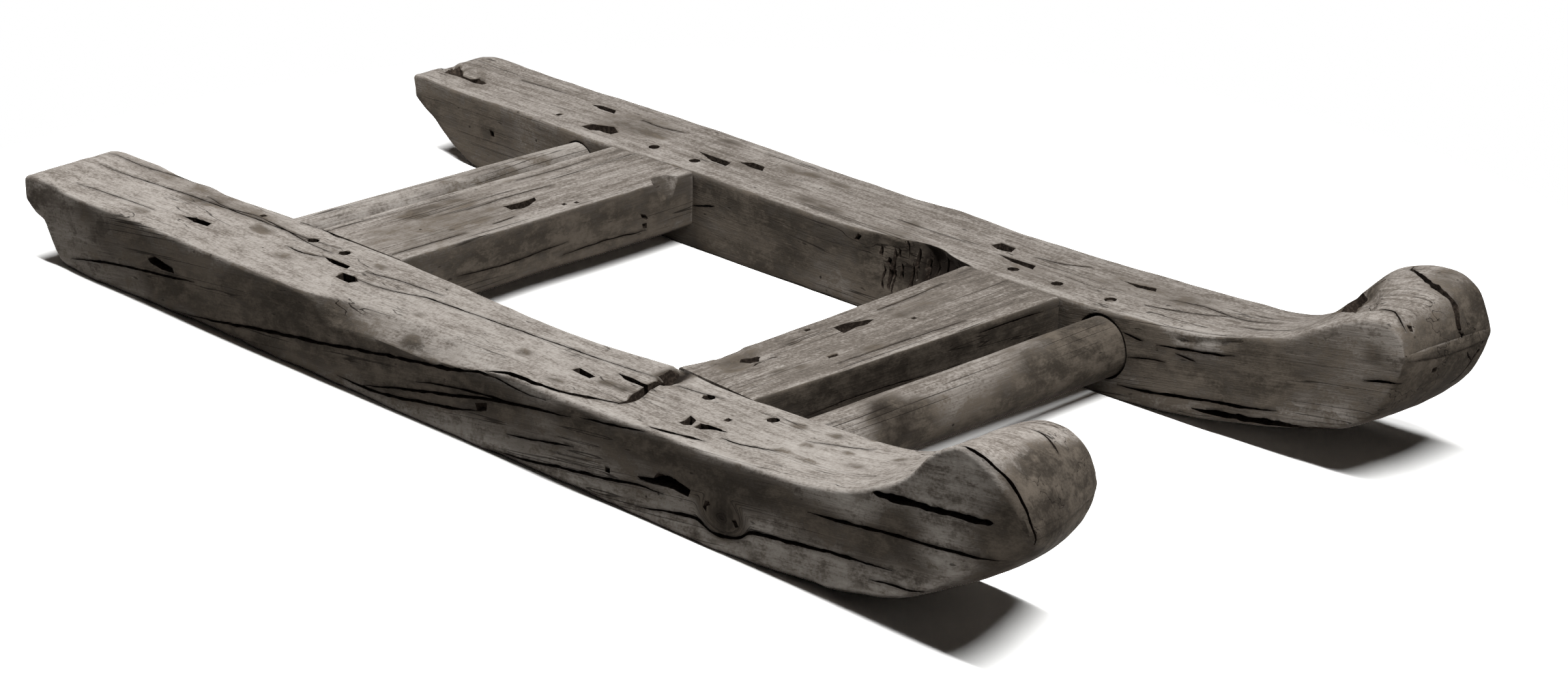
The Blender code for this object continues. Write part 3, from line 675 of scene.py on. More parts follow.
def skin(name, rings):
    """A closed mesh object through a row of rings."""
    count, points = rings.shape[:2]
    ring, spot = np.meshgrid(np.arange(count - 1), np.arange(points), indexing="ij")
    after = (spot + 1) % points
    base = ring * points
    quads = np.stack([base + spot, base + after, base + points + after, base + points + spot], -1)
    faces = quads.reshape(-1, 4).tolist()
    faces.append(list(range(points))[::-1])
    faces.append(list(range((count - 1) * points, count * points)))
    mesh = bpy.data.meshes.new(name)
    mesh.from_pydata(rings.reshape(-1, 3).tolist(), [], faces)
    if signed_volume(mesh) < 0:
        mesh.flip_normals()
    mesh.shade_smooth()
    obj = bpy.data.objects.new(name, mesh)
    bpy.context.scene.collection.objects.link(obj)
    return obj


def signed_volume(mesh):
    """Above zero if a closed mesh's faces look outward."""
    mesh.calc_loop_triangles()
    corners = np.empty(len(mesh.loop_triangles) * 3, np.int32)
    mesh.loop_triangles.foreach_get("vertices", corners)
    points = vertices_of(mesh)[corners.reshape(-1, 3)]
    return np.einsum("ij,ij->i", points[:, 0], np.cross(points[:, 1], points[:, 2])).sum() / 6


def vertices_of(mesh):
    """The places of a mesh's vertices."""
    points = np.empty(len(mesh.vertices) * 3)
    mesh.vertices.foreach_get("co", points)
    return points.reshape(-1, 3)


def normals_of(mesh):
    """The normals at a mesh's vertices."""
    normals = np.empty(len(mesh.vertices) * 3)
    mesh.vertex_normals.foreach_get("vector", normals)
    return normals.reshape(-1, 3)


def place_vertices(obj, points):
    """Moves a mesh's vertices to new places."""
    obj.data.vertices.foreach_set("co", np.asarray(points).ravel())
    obj.data.update()


def push(obj, heights):
    """Moves each vertex along its normal."""
    mesh = obj.data
    place_vertices(obj, vertices_of(mesh) + normals_of(mesh) * np.asarray(heights)[:, None])


def hew(obj, grain, depth, seed, swell=0.0):
    """Weathers a surface: long swells, hewing facets and small bruises, longer along the grain."""
    points = vertices_of(obj.data)
    stretch = np.ones(3)
    stretch[grain] = 3.5
    broad = noise(points, 0.055 * stretch, seed)
    facet = noise(points, 0.020 * stretch, seed + 1)
    ripple = noise(points, 0.0085 * stretch, seed + 2)
    push(obj, swell + depth * (0.55 * broad + 0.3 * facet + 0.15 * ripple))


def settle(obj):
    """Flattens what stands on the floor."""
    points = vertices_of(obj.data)
    points[:, 2] = np.maximum(points[:, 2], FLOOR_CLEARANCE)
    place_vertices(obj, points)


def runner_sections(outer_ribs, inner_ribs, edges, step):
    """Corners of a runner's sections from heel to nose.

    They run from the bottom outer one over the bottom inner and the top inner to the top outer.
    """
    outer = np.array(outer_ribs, float)
    inner = np.array(inner_ribs, float)
    top_moves, bottom_moves = (np.diff(ends, axis=0).T for ends in (outer[:, :2], outer[:, 2:]))
    moves = np.maximum(np.hypot(*top_moves), np.hypot(*bottom_moves))
    place = np.concatenate([[0], np.cumsum(moves)])
    at = np.linspace(0, place[-1], int(place[-1] / step))
    columns = [smooth_between(place, column, at) for column in (*outer.T, *inner.T)]
    oty, otz, oby, obz, ity, itz, iby, ibz = columns
    top_outer, top_inner, bottom_outer, bottom_inner = edges
    corners = (
        (along_edge(bottom_outer, oby), oby, obz),
        (along_edge(bottom_inner, iby), iby, ibz),
        (along_edge(top_inner, ity), ity, itz),
        (along_edge(top_outer, oty), oty, otz),
    )
    return np.stack([np.stack(corner, -1) for corner in corners], 1) * MM


def worn_radii(corners, sizes, seed):
    """A radius for each corner of each section that wanders about its size."""
    radii = []
    for k, size in enumerate(sizes):
        spots = corners[:, k]
        slow = noise(spots, (0.09,) * 3, seed + k)
        quick = noise(spots, (0.025,) * 3, seed + 9 + k)
        radii.append(size * (1 + (0.45 * slow + 0.3 * quick)))
    return np.stack(radii, 1)


def new_cutter(name, rings, inside=1):
    """A closed cutter through rings. Its faces get the painted shade of hollows, or with inside 0 the
    timber's.
    """
    obj = skin(name, rings)
    faces = obj.data.polygons
    faces.foreach_set("material_index", np.full(len(faces), inside, np.int32))
    return obj


class Surface:
    """Finds places on a piece's skin, in millimetres, so that its marks lie on it."""

    def __init__(self, obj):
        faces = [tuple(face.vertices) for face in obj.data.polygons]
        self.tree = BVHTree.FromPolygons(vertices_of(obj.data).tolist(), faces)

    def land(self, face, point):
        """The spot that a look straight at a face meets at its two places, and the normal there."""
        if len(point) == 3:
            spot, normal, _, _ = self.tree.find_nearest(Vector(point) * MM)
            return np.array(spot) / MM, np.array(normal)
        outward, axes = FACES[face]
        start = np.zeros(3)
        start[axes[0]], start[axes[1]] = point
        line = 3 - sum(axes)
        start[line], surface_place = STANDPOINTS[face]
        into = np.zeros(3)
        into[line] = -np.sign(outward[line])
        spot, normal, _, _ = self.tree.ray_cast(Vector(start) * MM, Vector(into))
        if spot is None:
            start[line] = surface_place
            spot, normal, _, _ = self.tree.find_nearest(Vector(start) * MM)
        return np.array(spot) / MM, np.array(normal)

    def trace(self, face, path, step):
        """Close spots along a path on the skin, with smoothed normals."""
        path = np.array(path, float)
        run = np.concatenate([[0], np.cumsum(np.linalg.norm(np.diff(path, axis=0), axis=1))])
        at = np.linspace(0, run[-1], max(6, int(run[-1] / step)))
        dense = np.stack([smooth_between(run, column, at) for column in path.T], 1)
        found = [self.land(face, point) for point in dense]
        spots = np.array([spot for spot, _ in found])
        normals = np.array([normal for _, normal in found])
        padded = np.concatenate([normals[:1]] * 2 + [normals] + [normals[-1:]] * 2)
        normals = sum(padded[k : k + len(normals)] for k in range(5))
        return spots, normals / np.linalg.norm(normals, axis=1)[:, None]


def well(name, surface, face, outline, depth, taper, ragged=0.7):
    """A ragged well cutter: an outline on a face, sunk to a depth, and raised clear above the face."""
    over = 8.0
    outline = np.array(outline, float)
    dense = []
    spacing = 3
    for start, end in zip(outline, np.roll(outline, -1, axis=0)):
        count = max(1, int(np.linalg.norm(end - start) / spacing))
        dense += [start + (end - start) * k / count for k in range(count)]
    found = [surface.land(face, point) for point in dense]
    loop = np.array([spot for spot, _ in found])
    if face == "nose":
        into = -np.mean([normal for _, normal in found], axis=0)
        into /= np.linalg.norm(into)
    else:
        outward, axes = FACES[face]
        into = np.zeros(3)
        into[3 - sum(axes)] = -np.sign(outward[3 - sum(axes)])
    middle = loop.mean(axis=0)
    rings = []
    for share in (-over / depth, 0.0, 0.35, 0.7, 1.0):
        scale = 1 if share <= 0 else 1 - (1 - taper) * share
        ring = middle + (loop - middle) * scale + into * depth * share
        if share > 0.5:
            ring -= into * ((ring - middle) @ into - depth * share)[:, None]
        ring = ring + ragged * np.stack([noise(ring, (4, 4, 9), 31 + k) for k in range(3)], 1)
        rings.append(ring)
    return new_cutter(name, np.array(rings) * MM)


def split(name, surface, face, path, width, depth, seed=0, blunt=False):
    """A check cutter: a thin ragged wedge along a path on a face, which tapers out at both ends."""
    spots, up = surface.trace(face, path, 4)
    count = len(spots)
    tangent = np.gradient(spots, axis=0)
    aside = np.cross(up, tangent)
    aside /= np.linalg.norm(aside, axis=1)[:, None]
    t = np.linspace(0, 1, count)
    body = np.clip(np.minimum(t, 1 - t) * (25 if blunt else 4.5), 0.06, 1) ** 0.65
    ragged = 0.4 * noise(spots, (11,) * 3, seed + 3)
    half = width / 2 * body * (1 + ragged + 0.2 * noise(spots, (4.5,) * 3, seed + 4))
    deep = 1.5 * depth * np.clip(body, 0.35, 1)
    shift = 0.7 * noise(spots, (16,) * 3, seed) + 0.35 * noise(spots, (6,) * 3, seed + 1)
    spots = spots + aside * shift[:, None]
    top = spots + up * 5
    foot = spots - up * deep[:, None]
    half = half[:, None]
    wide = aside * half * 1.05
    narrow = aside * half * 0.75
    rings = np.stack([top - wide, top + wide, foot + narrow, foot - narrow], 1)
    return new_cutter(name, rings * MM)


def damage(name, surface, checks, wells, gashes=()):
    """All the cutters of a piece's checks, gashes and wells, and spots along them."""
    cutters = []
    spots = []
    opening = 1.2
    most_opening = 1.6
    for k, (face, depth, taper, outline) in enumerate(by_face(wells)):
        cutters.append(well(f"{name}_well_{k}", surface, face, outline, depth, taper))
    for k, (face, width, depth, path) in enumerate(by_face(gashes)):
        cutters.append(split(f"{name}_gash_{k}", surface, face, path, width, depth, 5 * k + 2, True))
        spots.extend(surface.trace(face, path, 3)[0] * MM)
    for k, (face, width, depth, path) in enumerate(by_face(checks)):
        wide = min(width * opening, width + most_opening)
        cutters.append(split(f"{name}_check_{k}", surface, face, path, wide, depth, 7 * k + 1))
        spots.extend(surface.trace(face, path, 3)[0] * MM)
    return cutters, spots


def inside_outline(places, outline, rim):
    """0 outside an outline, rising smoothly to 1 at the rim's width inside it."""
    outline = np.array(outline, float)
    inside = np.zeros(len(places), bool)
    nearest = np.full(len(places), 1e9)
    for a, b in zip(outline, np.roll(outline, -1, axis=0)):
        crosses = (a[1] > places[:, 1]) != (b[1] > places[:, 1])
        rise = b[1] - a[1] if abs(b[1] - a[1]) > 1e-9 else 1e-9
        x = a[0] + (places[:, 1] - a[1]) / rise * (b[0] - a[0])
        inside ^= crosses & (places[:, 0] < x)
        share = np.clip(((places - a) @ (b - a)) / ((b - a) @ (b - a)), 0, 1)
        nearest = np.minimum(nearest, np.linalg.norm(places - a - share[:, None] * (b - a), axis=1))
    t = np.clip(nearest / rim, 0, 1)
    return np.where(inside, t * t * (3 - 2 * t), 0)


def looks_along(normals, face):
    """How squarely each normal looks the way of a face, from 0 to 1."""
    return np.clip((normals @ unit(FACES[face][0]) - 0.3) * 2.5, 0, 1)


def press(obj, hollows, seed):
    """Wears shallow hollows into a surface."""
    for face, depth, rim, outline in by_face(hollows):
        points = vertices_of(obj.data)
        normals = normals_of(obj.data)
        places = points[:, FACES[face][1]] / MM
        amount = inside_outline(places, outline, rim) * looks_along(normals, face)
        rough = 0.75 + 0.35 * noise(points, (0.012,) * 3, seed)
        rough += 0.2 * noise(points, (0.006,) * 3, seed + 1)
        place_vertices(obj, points - unit(FACES[face][0]) * (amount * rough * depth * MM)[:, None])


def shave_shoulder(obj, facet):
    """Planes off the outer top edge of the right runner down to its worn facet."""
    points = vertices_of(obj.data)
    places = [row[0] for row in facet]
    y = points[:, 1] / MM
    low_z = smooth_between(places, [row[1] for row in facet], y)
    deck_x = smooth_between(places, [row[2] for row in facet], y)
    side_x = SHOULDER_SIDE
    run, rise = deck_x - side_x, SHOULDER_DECK - low_z
    length = np.maximum(np.hypot(run, rise), 1e-6)
    out_x, out_z = -rise / length, run / length
    beyond = (points[:, 0] / MM - side_x) * out_x + (points[:, 2] / MM - low_z) * out_z
    beyond -= 0.8 * noise(points, (0.03, 0.05, 0.03), 12)
    middle_x = -0.32
    on_facet = (y > places[-1]) & (y < places[0]) & (points[:, 0] < middle_x) & (rise > 1)
    shift = np.where(on_facet & (beyond > 0), beyond, 0) * MM
    points[:, 0] -= out_x * shift
    points[:, 2] -= out_z * shift
    place_vertices(obj, points)


def carve(obj, cutters):
    """Cuts every cutter from a piece and throws the cutters away."""
    for cutter in cutters:
        modifier = obj.modifiers.new(cutter.name, "BOOLEAN")
        modifier.operation = "DIFFERENCE"
        modifier.solver = "MANIFOLD"
        modifier.material_mode = "INDEX"
        modifier.object = cutter
    graph = bpy.context.evaluated_depsgraph_get()
    cut_mesh = bpy.data.meshes.new_from_object(obj.evaluated_get(graph))
    if len(cut_mesh.polygons) == 0:
        raise RuntimeError(f"{obj.name} vanished when it was carved")
    old = obj.data
    obj.modifiers.clear()
    obj.data = cut_mesh
    cut_mesh.name = obj.name
    bpy.data.meshes.remove(old)
    for cutter in cutters:
        mesh = cutter.data
        bpy.data.objects.remove(cutter)
        bpy.data.meshes.remove(mesh)
    cut_mesh.shade_smooth()
    cut_mesh.set_sharp_from_angle(angle=math.radians(SHARP_ANGLE))


def mark(obj, name, values):
    """Stores one number for each vertex, which the finish reads."""
    attribute = obj.data.attributes.new(name, "FLOAT", "POINT")
    attribute.data.foreach_set("value", np.clip(values, 0, 1).astype(np.float32))


def nearness(points, lines, reach):
    """1 on a set of points and 0 beyond their reach."""
    tree = KDTree(len(lines))
    for k, spot in enumerate(lines):
        tree.insert(spot, k)
    tree.balance()
    distance = np.array([tree.find(point)[2] for point in points])
    return np.clip(1 - distance / reach, 0, 1)


def patch_amounts(points, normals, patches):
    """Stains with painted shade, paleness, and black rot with painted shade, at each vertex from a
    piece's soft patches.
    """
    stain = np.zeros(len(points))
    pale = np.zeros(len(points))
    soot_and_shade = np.zeros(len(points))
    for face, *patch in by_face(patches):
        if face == "nose":
            x, y, z, reach, amount = patch
            away = np.linalg.norm(points / MM - (x, y, z), axis=1) / reach
            strength = np.exp(-(away**2) * 0.9)
        else:
            u, v, wide, high, amount = patch
            places = points[:, FACES[face][1]] / MM
            away = ((places[:, 0] - u) / wide) ** 2 + ((places[:, 1] - v) / high) ** 2
            strength = np.exp(-(away**1.3) * 0.8) * looks_along(normals, face)
        if amount > 1:
            soot_and_shade = np.maximum(soot_and_shade, strength * (amount - 1))
        elif amount > 0:
            stain = 1 - (1 - stain) * (1 - strength * min(1, amount * 1.25))
        else:
            pale = np.maximum(pale, strength * -amount)
    return stain, pale, soot_and_shade


class Shade:
    """A shader socket that takes part in Python arithmetic."""

    def __init__(self, tree, socket=None):
        self.tree = tree
        self.socket = socket

    def node(self, kind, settings=None, sockets=None, out=0):
        """Adds any node: its settings first, then the values or links of its sockets."""
        made = self.tree.nodes.new(kind)
        for key, value in (settings or {}).items():
            if key == "stops":
                ramp = made.color_ramp
                while len(ramp.elements) < len(value):
                    ramp.elements.new(0.5)
                for element, (position, color) in zip(ramp.elements, value):
                    element.position = position
                    element.color = color4(color)
            else:
                setattr(made, key, value)
        for key, value in (sockets or {}).items():
            if isinstance(value, Shade):
                self.tree.links.new(value.socket, made.inputs[key])
            else:
                made.inputs[key].default_value = value
        return Shade(self.tree, made.outputs[out])

    def math(self, operation, *values):
        return self.node("ShaderNodeMath", {"operation": operation}, dict(enumerate(values)))

    def __add__(self, other):
        return self.math("ADD", self, other)

    __radd__ = __add__

    def __sub__(self, other):
        return self.math("SUBTRACT", self, other)

    def __rsub__(self, other):
        return self.math("SUBTRACT", other, self)

    def __mul__(self, other):
        return self.math("MULTIPLY", self, other)

    __rmul__ = __mul__

    def __abs__(self):
        return self.math("ABSOLUTE", self)

    def above(self, other):
        return self.math("MAXIMUM", self, other)

    def below(self, other):
        return self.math("MINIMUM", self, other)

    def step(self, low, high):
        """0 below low, 1 above high and a smooth rise between. It falls if high is the lower."""
        settings = {"interpolation_type": "SMOOTHSTEP"}
        values = (low, high, 0.0, 1.0) if low < high else (high, low, 1.0, 0.0)
        return self.node("ShaderNodeMapRange", settings, dict(enumerate((self, *values))))

    def vector(self, *parts):
        return self.node("ShaderNodeCombineXYZ", None, dict(enumerate(parts)))

    def noise(self, place, scale, detail=2.0, roughness=0.5, distortion=0.0):
        names = ("Vector", "Scale", "Detail", "Roughness", "Distortion")
        values = (place, scale, detail, roughness, distortion)
        return self.node("ShaderNodeTexNoise", {"normalize": True}, dict(zip(names, values)))

    def blend(self, first, second):
        """A colour between two, by this value."""
        return self.node("ShaderNodeMix", {"data_type": "RGBA"}, {0: self, 6: first, 7: second}, 2)


def color4(color, share=1):
    """A colour with its alpha, made darker or lighter by a share."""
    return (*(share * part for part in color), 1)


def new_material(name):
    """A new material, its node tree, its shader and the first link in a chain of shader maths."""
    material = bpy.data.materials.new(name)
    material.use_nodes = True
    tree = material.node_tree
    return material, tree, tree.nodes["Principled BSDF"], Shade(tree)


def timber_finish(name, grain, props, offset, knots=(), bleach=0.0, tilt=(0.0, 1.0)):
    """Old bare timber: silvered streaks, dark rain stains, hairline checks, worm holes and fibres,
    with painted shade and a painted edge highlight laid in from the piece's marks.

    tilt is how steeply the grain climbs towards the front, and the place ahead of which it does.
    Each knot is its middle, as along, side and height, and its radius.
    """
    material, tree, shader, s = new_material(name)
    place = s.node("ShaderNodeTexCoord", None, None, 3)
    axes = [s.node("ShaderNodeSeparateXYZ", None, {0: place}, k) for k in range(3)]
    along = axes[grain]
    side, level = (axes[k] for k in range(3) if k != grain)
    slope, ahead_of = tilt
    if slope:
        level = level + slope * along.below(ahead_of)
    swirl = s.noise(s.vector(side, along * 0.22, level), 13.0, 1.0) - 0.5
    level = level + swirl * 0.006
    side = side + swirl * 0.005
    ring_zone = None
    for knot_along, knot_side, knot_level, radius in knots:
        away = s.vector((along - knot_along) * 0.6, side - knot_side, axes[2] - knot_level)
        distance = s.node("ShaderNodeVectorMath", {"operation": "LENGTH"}, {0: away}, 1)
        zone = distance.step(radius, radius * 0.3)
        level = level + zone * (distance * 1.6 - level)
        ring_zone = zone if ring_zone is None else ring_zone.above(zone)

    def layer(stretch, *look):
        """A noise drawn out along the grain, shifted across it from piece to piece."""
        return s.noise(s.vector(side + offset, along * stretch, level), *look)

    def slid_layer(stretch, *look):
        """A noise drawn out along the grain, shifted along it from piece to piece."""
        return s.noise(s.vector(side, along * stretch + offset, level), *look)

    streak = layer(0.05, 105.0, 4.0, 0.62, 0.3)
    fibre = layer(0.045, 560.0, 2.0, 0.6)
    cloud = layer(0.5, 15.0, 3.0, 0.55, 0.4)
    mottle = s.noise(s.vector(side + offset, along * 0.65, level * 1.1), 52.0, 4.0, 0.62, 0.3)
    grit = slid_layer(0.7, 330.0, 3.0, 0.65)
    uneven_streak, uneven_fibre, uneven_cloud, uneven_mottle, uneven_grit = (
        field - 0.5 for field in (streak, fibre, cloud, mottle, grit)
    )
    stain, pale, wear, grime, upright = (
        s.node("ShaderNodeAttribute", {"attribute_name": mark_name}, None, 2)
        for mark_name in ("stain", "pale", "wear", "grime", "upright")
    )

    clouding = (uneven_cloud * 0.8 + uneven_mottle * 0.9) * (upright * 0.95 + 0.45)
    tone = uneven_streak * 0.6 + uneven_fibre * 0.5 + clouding + uneven_grit * 0.75
    # The edge mark lightens the top edges: rubbed wood, partly a painted highlight.
    tone = tone + (0.5 + bleach) + pale * 0.24 + wear * 0.12
    stops = (
        (0.0, tuple(0.5 * part for part in props.weathered)),
        (0.3, props.weathered),
        (0.55, props.silvered),
        (1.0, props.rubbed_and_highlit),
    )
    base = s.node("ShaderNodeValToRGB", {"stops": stops}, {0: tone})

    frayed = uneven_mottle * 1.7 + uneven_grit * 1.0 + uneven_streak * 0.6
    # This mark darkens to the stains' colour: real stains, and painted shade where a patch darkens a face
    # that looks forward, a side or a hollow.
    stain_and_shade_amount = (stain * 1.05 + frayed * stain.step(0.02, 0.25)).step(0.08, 0.72)
    rain = mottle.step(0.62, 0.76) * cloud.step(0.54, 0.64) * (upright * 0.3 + 0.25)
    depth = (cloud * 0.35 + mottle * 0.45 + grit * 0.2).step(0.40, 0.60)
    stain_and_shade_color = depth.blend(color4(props.stain_and_shade_tone, 0.5), color4(props.stain_and_shade_tone, 1.5))
    blotch = layer(0.6, 27.0, 5.0, 0.68, 0.5).step(0.49, 0.62) * (upright * 0.5 + 0.1)
    color = (stain_and_shade_amount * 0.96).above(rain).above(blotch).blend(base, stain_and_shade_color)
    # This mark darkens towards black: painted shade under each piece and on shaded fronts, black rot, and
    # dirt beside the checks.
    shade_and_soot_share = grime * (1.6 - mottle * 0.7)
    color = shade_and_soot_share.step(0.05, 0.9).blend(color, color4(props.hollow, 1.3))

    hair_field = layer(0.014, 58.0, 2.0, 0.5, 0.2)
    hair_gate = slid_layer(0.2, 22.0, 1.0)
    hairline = abs(hair_field - 0.5).step(0.011, 0.003) * hair_gate.step(0.49, 0.58)
    cells = {"Vector": place, "Scale": 40.0, "Randomness": 1.0}
    worm_cells = s.node("ShaderNodeTexVoronoi", {"feature": "F1"}, cells)
    worm = worm_cells.step(0.095, 0.06) * cloud.step(0.56, 0.64)
    fleck = slid_layer(0.28, 150.0, 2.0, 0.5).step(0.70, 0.77)
    dark = (hairline * 0.78).above(worm * 0.8).above(fleck * 0.65)
    if ring_zone is not None:
        rings = (streak * 0.45 + mottle * 0.55).step(0.53, 0.43)
        dark = dark.above(ring_zone * rings * 0.85)
    color = dark.blend(color, color4(props.hollow))

    height = uneven_streak * 1.1 + uneven_fibre * 0.4 + uneven_mottle * 0.8 + uneven_grit * 0.3
    height = height - hairline * 0.8 - worm * 1.2 - fleck * 0.4
    bump = {"Strength": 1.0, "Distance": props.relief * MM, "Height": height}
    normal = s.node("ShaderNodeBump", None, bump)
    rough = 0.88 - wear * 0.14 + uneven_fibre * 0.1
    tree.links.new(color.socket, shader.inputs["Base Color"])
    tree.links.new(rough.socket, shader.inputs["Roughness"])
    tree.links.new(normal.socket, shader.inputs["Normal"])
    shader.inputs["Specular IOR Level"].default_value = BARE_WOOD_GLOSS
    return material


def painted_hollow_shade(name, props):
    """Painted shade inside slots, checks and holes: dark wood, mottled like dirt."""
    material, tree, shader, s = new_material(name)
    place = s.node("ShaderNodeTexCoord", None, None, 3)
    grime = s.noise(place, 240.0, 3.0, 0.6)
    color = grime.step(0.4, 0.7).blend(color4(props.hollow, 2.4), color4(props.hollow, 6.0))
    normal = s.node("ShaderNodeBump", None, {"Strength": 1.0, "Distance": 0.0012, "Height": grime})
    tree.links.new(color.socket, shader.inputs["Base Color"])
    tree.links.new(normal.socket, shader.inputs["Normal"])
    shader.inputs["Roughness"].default_value = 0.95
    shader.inputs["Specular IOR Level"].default_value = BARE_WOOD_GLOSS / 2
    return material


def dress(obj, finish, hollow, slot, *nodes):
    """Gives a piece its finish and the painted shade of its hollows, its body and the CAD nodes that
    it stands for.
    """
    inside = np.empty(len(obj.data.polygons), np.int32)
    obj.data.polygons.foreach_get("material_index", inside)
    obj.data.materials.clear()
    obj.data.materials.append(finish)
    obj.data.materials.append(hollow)
    obj.data.polygons.foreach_set("material_index", inside)
    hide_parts(*nodes)
    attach(obj, "root")
    bpy.context.view_layer.update()


def shade_of(name, description, *color):
    """A colour that the panel can change."""
    return FloatVectorProperty(
        name=name, description=description, subtype="COLOR", size=3, min=0, max=1, default=color
    )


def length_of(name, description, default, low, high):
    """A length in metres that the panel can change."""
    return FloatProperty(
        name=name, description=description, default=default, min=low, max=high, unit="LENGTH"
    )


class SledTimberProps(bpy.types.PropertyGroup):
    """Colours and wear of the old timber."""

    silvered: shade_of("Silvered", "Sun-bleached face of the timber", 0.335, 0.305, 0.276)
    weathered: shade_of("Weathered", "Dark summer grain between the silvered streaks", 0.165, 0.143, 0.123)
    # This colour is that of stains and also of painted shade on faces that look forward.
    stain_and_shade_tone: shade_of("Stained", "Rain and soil stains", 0.088, 0.073, 0.058)
    # This colour is that of rubbed wood and also of the painted highlight on the top edges.
    rubbed_and_highlit: shade_of("Rubbed", "Edges rubbed pale by ropes and hands", 0.500, 0.468, 0.432)
    # This colour is painted shade inside slots, checks and holes, under each piece and on shaded fronts; it
    # is also the black of rot, hairlines, worm holes and flecks.
    hollow: shade_of("Hollow", "Soot, and the inside of slots, checks and holes", 0.013, 0.010, 0.008)
    relief: FloatProperty(
        name="Grain relief", description="Height of the raised grain in millimetres",
        default=0.8, min=0, max=5,
    )
    hewing: length_of(
        "Hewing depth", "Depth of the swells and facets left by hewing and wear", 0.0020, 0, 0.01
    )
    swell: length_of(
        "Swell", "How far the raised timber stands out from its measured edges", 0.0022, 0, 0.005
    )
    arris: length_of("Worn arris", "Usual radius of a runner's worn edge", 0.0065, 0.001, 0.02)
    joint_gap: length_of("Joint gap", "Open joint where a beam meets a runner", 0.0004, 0.0003, 0.005)
    mesh_step: length_of("Mesh step", "Length of a face along the runners", 0.006, 0.003, 0.05)


class SledStageProps(bpy.types.PropertyGroup):
    """Floor, light and view."""

    floor_reach: length_of("Floor reach", "Half the width of the pale floor", 9.0, 2, 30)
    floor_white: FloatProperty(
        name="Floor white", description="How far the floor's colour is lifted towards pure white",
        default=2.4, min=0.2, max=5,
    )
    key_power: FloatProperty(
        name="Overhead light", description="Power that the two lamps above the sled share",
        default=120.0, min=0, max=5000, unit="POWER",
    )
    sky: FloatProperty(
        name="Room light", description="Brightness of the room round the stage",
        default=0.001, min=0, max=2,
    )
    focal_length: FloatProperty(
        name="Focal length", description="Focal length of the view in millimetres",
        default=91.54, min=20, max=300,
    )


def box_cutter(name, low, high):
    """A box cutter in metres, for a mortise."""
    (x0, y0, z0), (x1, y1, z1) = low, high
    rings = [[(x0, y, z0), (x1, y, z0), (x1, y, z1), (x0, y, z1)] for y in (y0, y1)]
    return new_cutter(name, np.array(rings))


def tube_rings(start, end, radii, count, points, seed, facet=0.0, sag=0.0):
    """Rings of a slightly crooked round pole."""
    start, end = np.array(start), np.array(end)
    direction = unit(end - start)
    upward = (0, 0, 1) if abs(direction[2]) < 0.9 else (1, 0, 0)
    first = unit(np.cross(direction, upward))
    second = np.cross(first, direction)
    angle = np.linspace(0, 2 * math.pi, points, endpoint=False)
    rings = []
    for t in np.linspace(0, 1, count):
        middle = start + (end - start) * t + second * sag * 4 * t * (1 - t)
        radius = radii[0] + (radii[1] - radii[0]) * t
        ring = radius * (1 + facet * np.cos(7 * angle + seed + 0.8 * math.sin(3 * t + seed)))
        spokes = np.cos(angle)[:, None] * first + np.sin(angle)[:, None] * second
        rings.append(middle + ring[:, None] * spokes)
    return np.array(rings)


def bar_ends(node):
    """Middle and radius of each end of a round bar's CAD solid."""
    points = np.array([v.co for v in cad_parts[node].data.vertices])
    ends = []
    for side in (points[:, 0].min(), points[:, 0].max()):
        end_zone = 0.012
        rim = points[abs(points[:, 0] - side) < end_zone]
        middle = (rim.min(axis=0) + rim.max(axis=0)) / 2
        middle[0] = side
        ends.append((middle, (rim[:, 1].max() - rim[:, 1].min()) / 2))
    return ends


def socket_cutters(name, sign, wider):
    """Blind round sockets for both bars, a little wider than the bars."""
    cutters = []
    for node in ("round_bar_front", "round_bar_rear"):
        (right, right_radius), (left, left_radius) = bar_ends(node)
        end, radius = (right, right_radius) if sign < 0 else (left, left_radius)
        inner = end - (sign * SOCKET_MOUTH, 0, 0)
        deep = end + (sign * SOCKET_SPARE, 0, 0)
        rings = tube_rings(deep, inner, (radius + wider * 0.6, radius + wider * 1.25), 6, 36, 1.0, 0.004)
        cutters.append(new_cutter(f"{name}_{node}", rings))
    return cutters


def mortise_cutters(name, sign):
    """Blind mortises for both beams' tenons."""
    cutters = []
    for node in ("cross_beam_front", "cross_beam_rear"):
        low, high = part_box(node)
        end_x = (low.x if sign < 0 else high.x) + sign * SOCKET_SPARE
        low_x, high_x = sorted((sign * MORTISE_MOUTH, end_x))
        middle_z = (low.z + high.z) / 2
        low_y, high_y = beam_span(node, sign)
        low_corner = (
            low_x, low_y + TENON_SHOULDER - MORTISE_SPARE, middle_z - TENON_HALF_THICKNESS - MORTISE_SPARE
        )
        high_corner = (
            high_x, high_y - TENON_SHOULDER + MORTISE_SPARE, middle_z + TENON_HALF_THICKNESS + MORTISE_SPARE
        )
        cutters.append(box_cutter(f"{name}_{node}", low_corner, high_corner))
    return cutters


def peg_nodes():
    """The names of the pegs' solids, in order."""
    return sorted(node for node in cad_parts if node.startswith("peg_"))


def peg_hole_cutters(name, low_x, high_x, wider, top=0.115):
    """Holes for the pegs that stand between two places along X."""
    cutters = []
    for node in peg_nodes():
        low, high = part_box(node)
        middle = (low + high) / 2
        if not low_x < middle.x < high_x:
            continue
        radius = (high.x - low.x) / 2 + wider
        start, end = (middle.x, middle.y, low.z - PEG_HOLE_SPARE), (middle.x, middle.y, top)
        rings = tube_rings(start, end, (radius, radius), 8, 20, middle.y * 40, 0.05)
        cutters.append(new_cutter(f"{name}_{node}", rings))
    return cutters


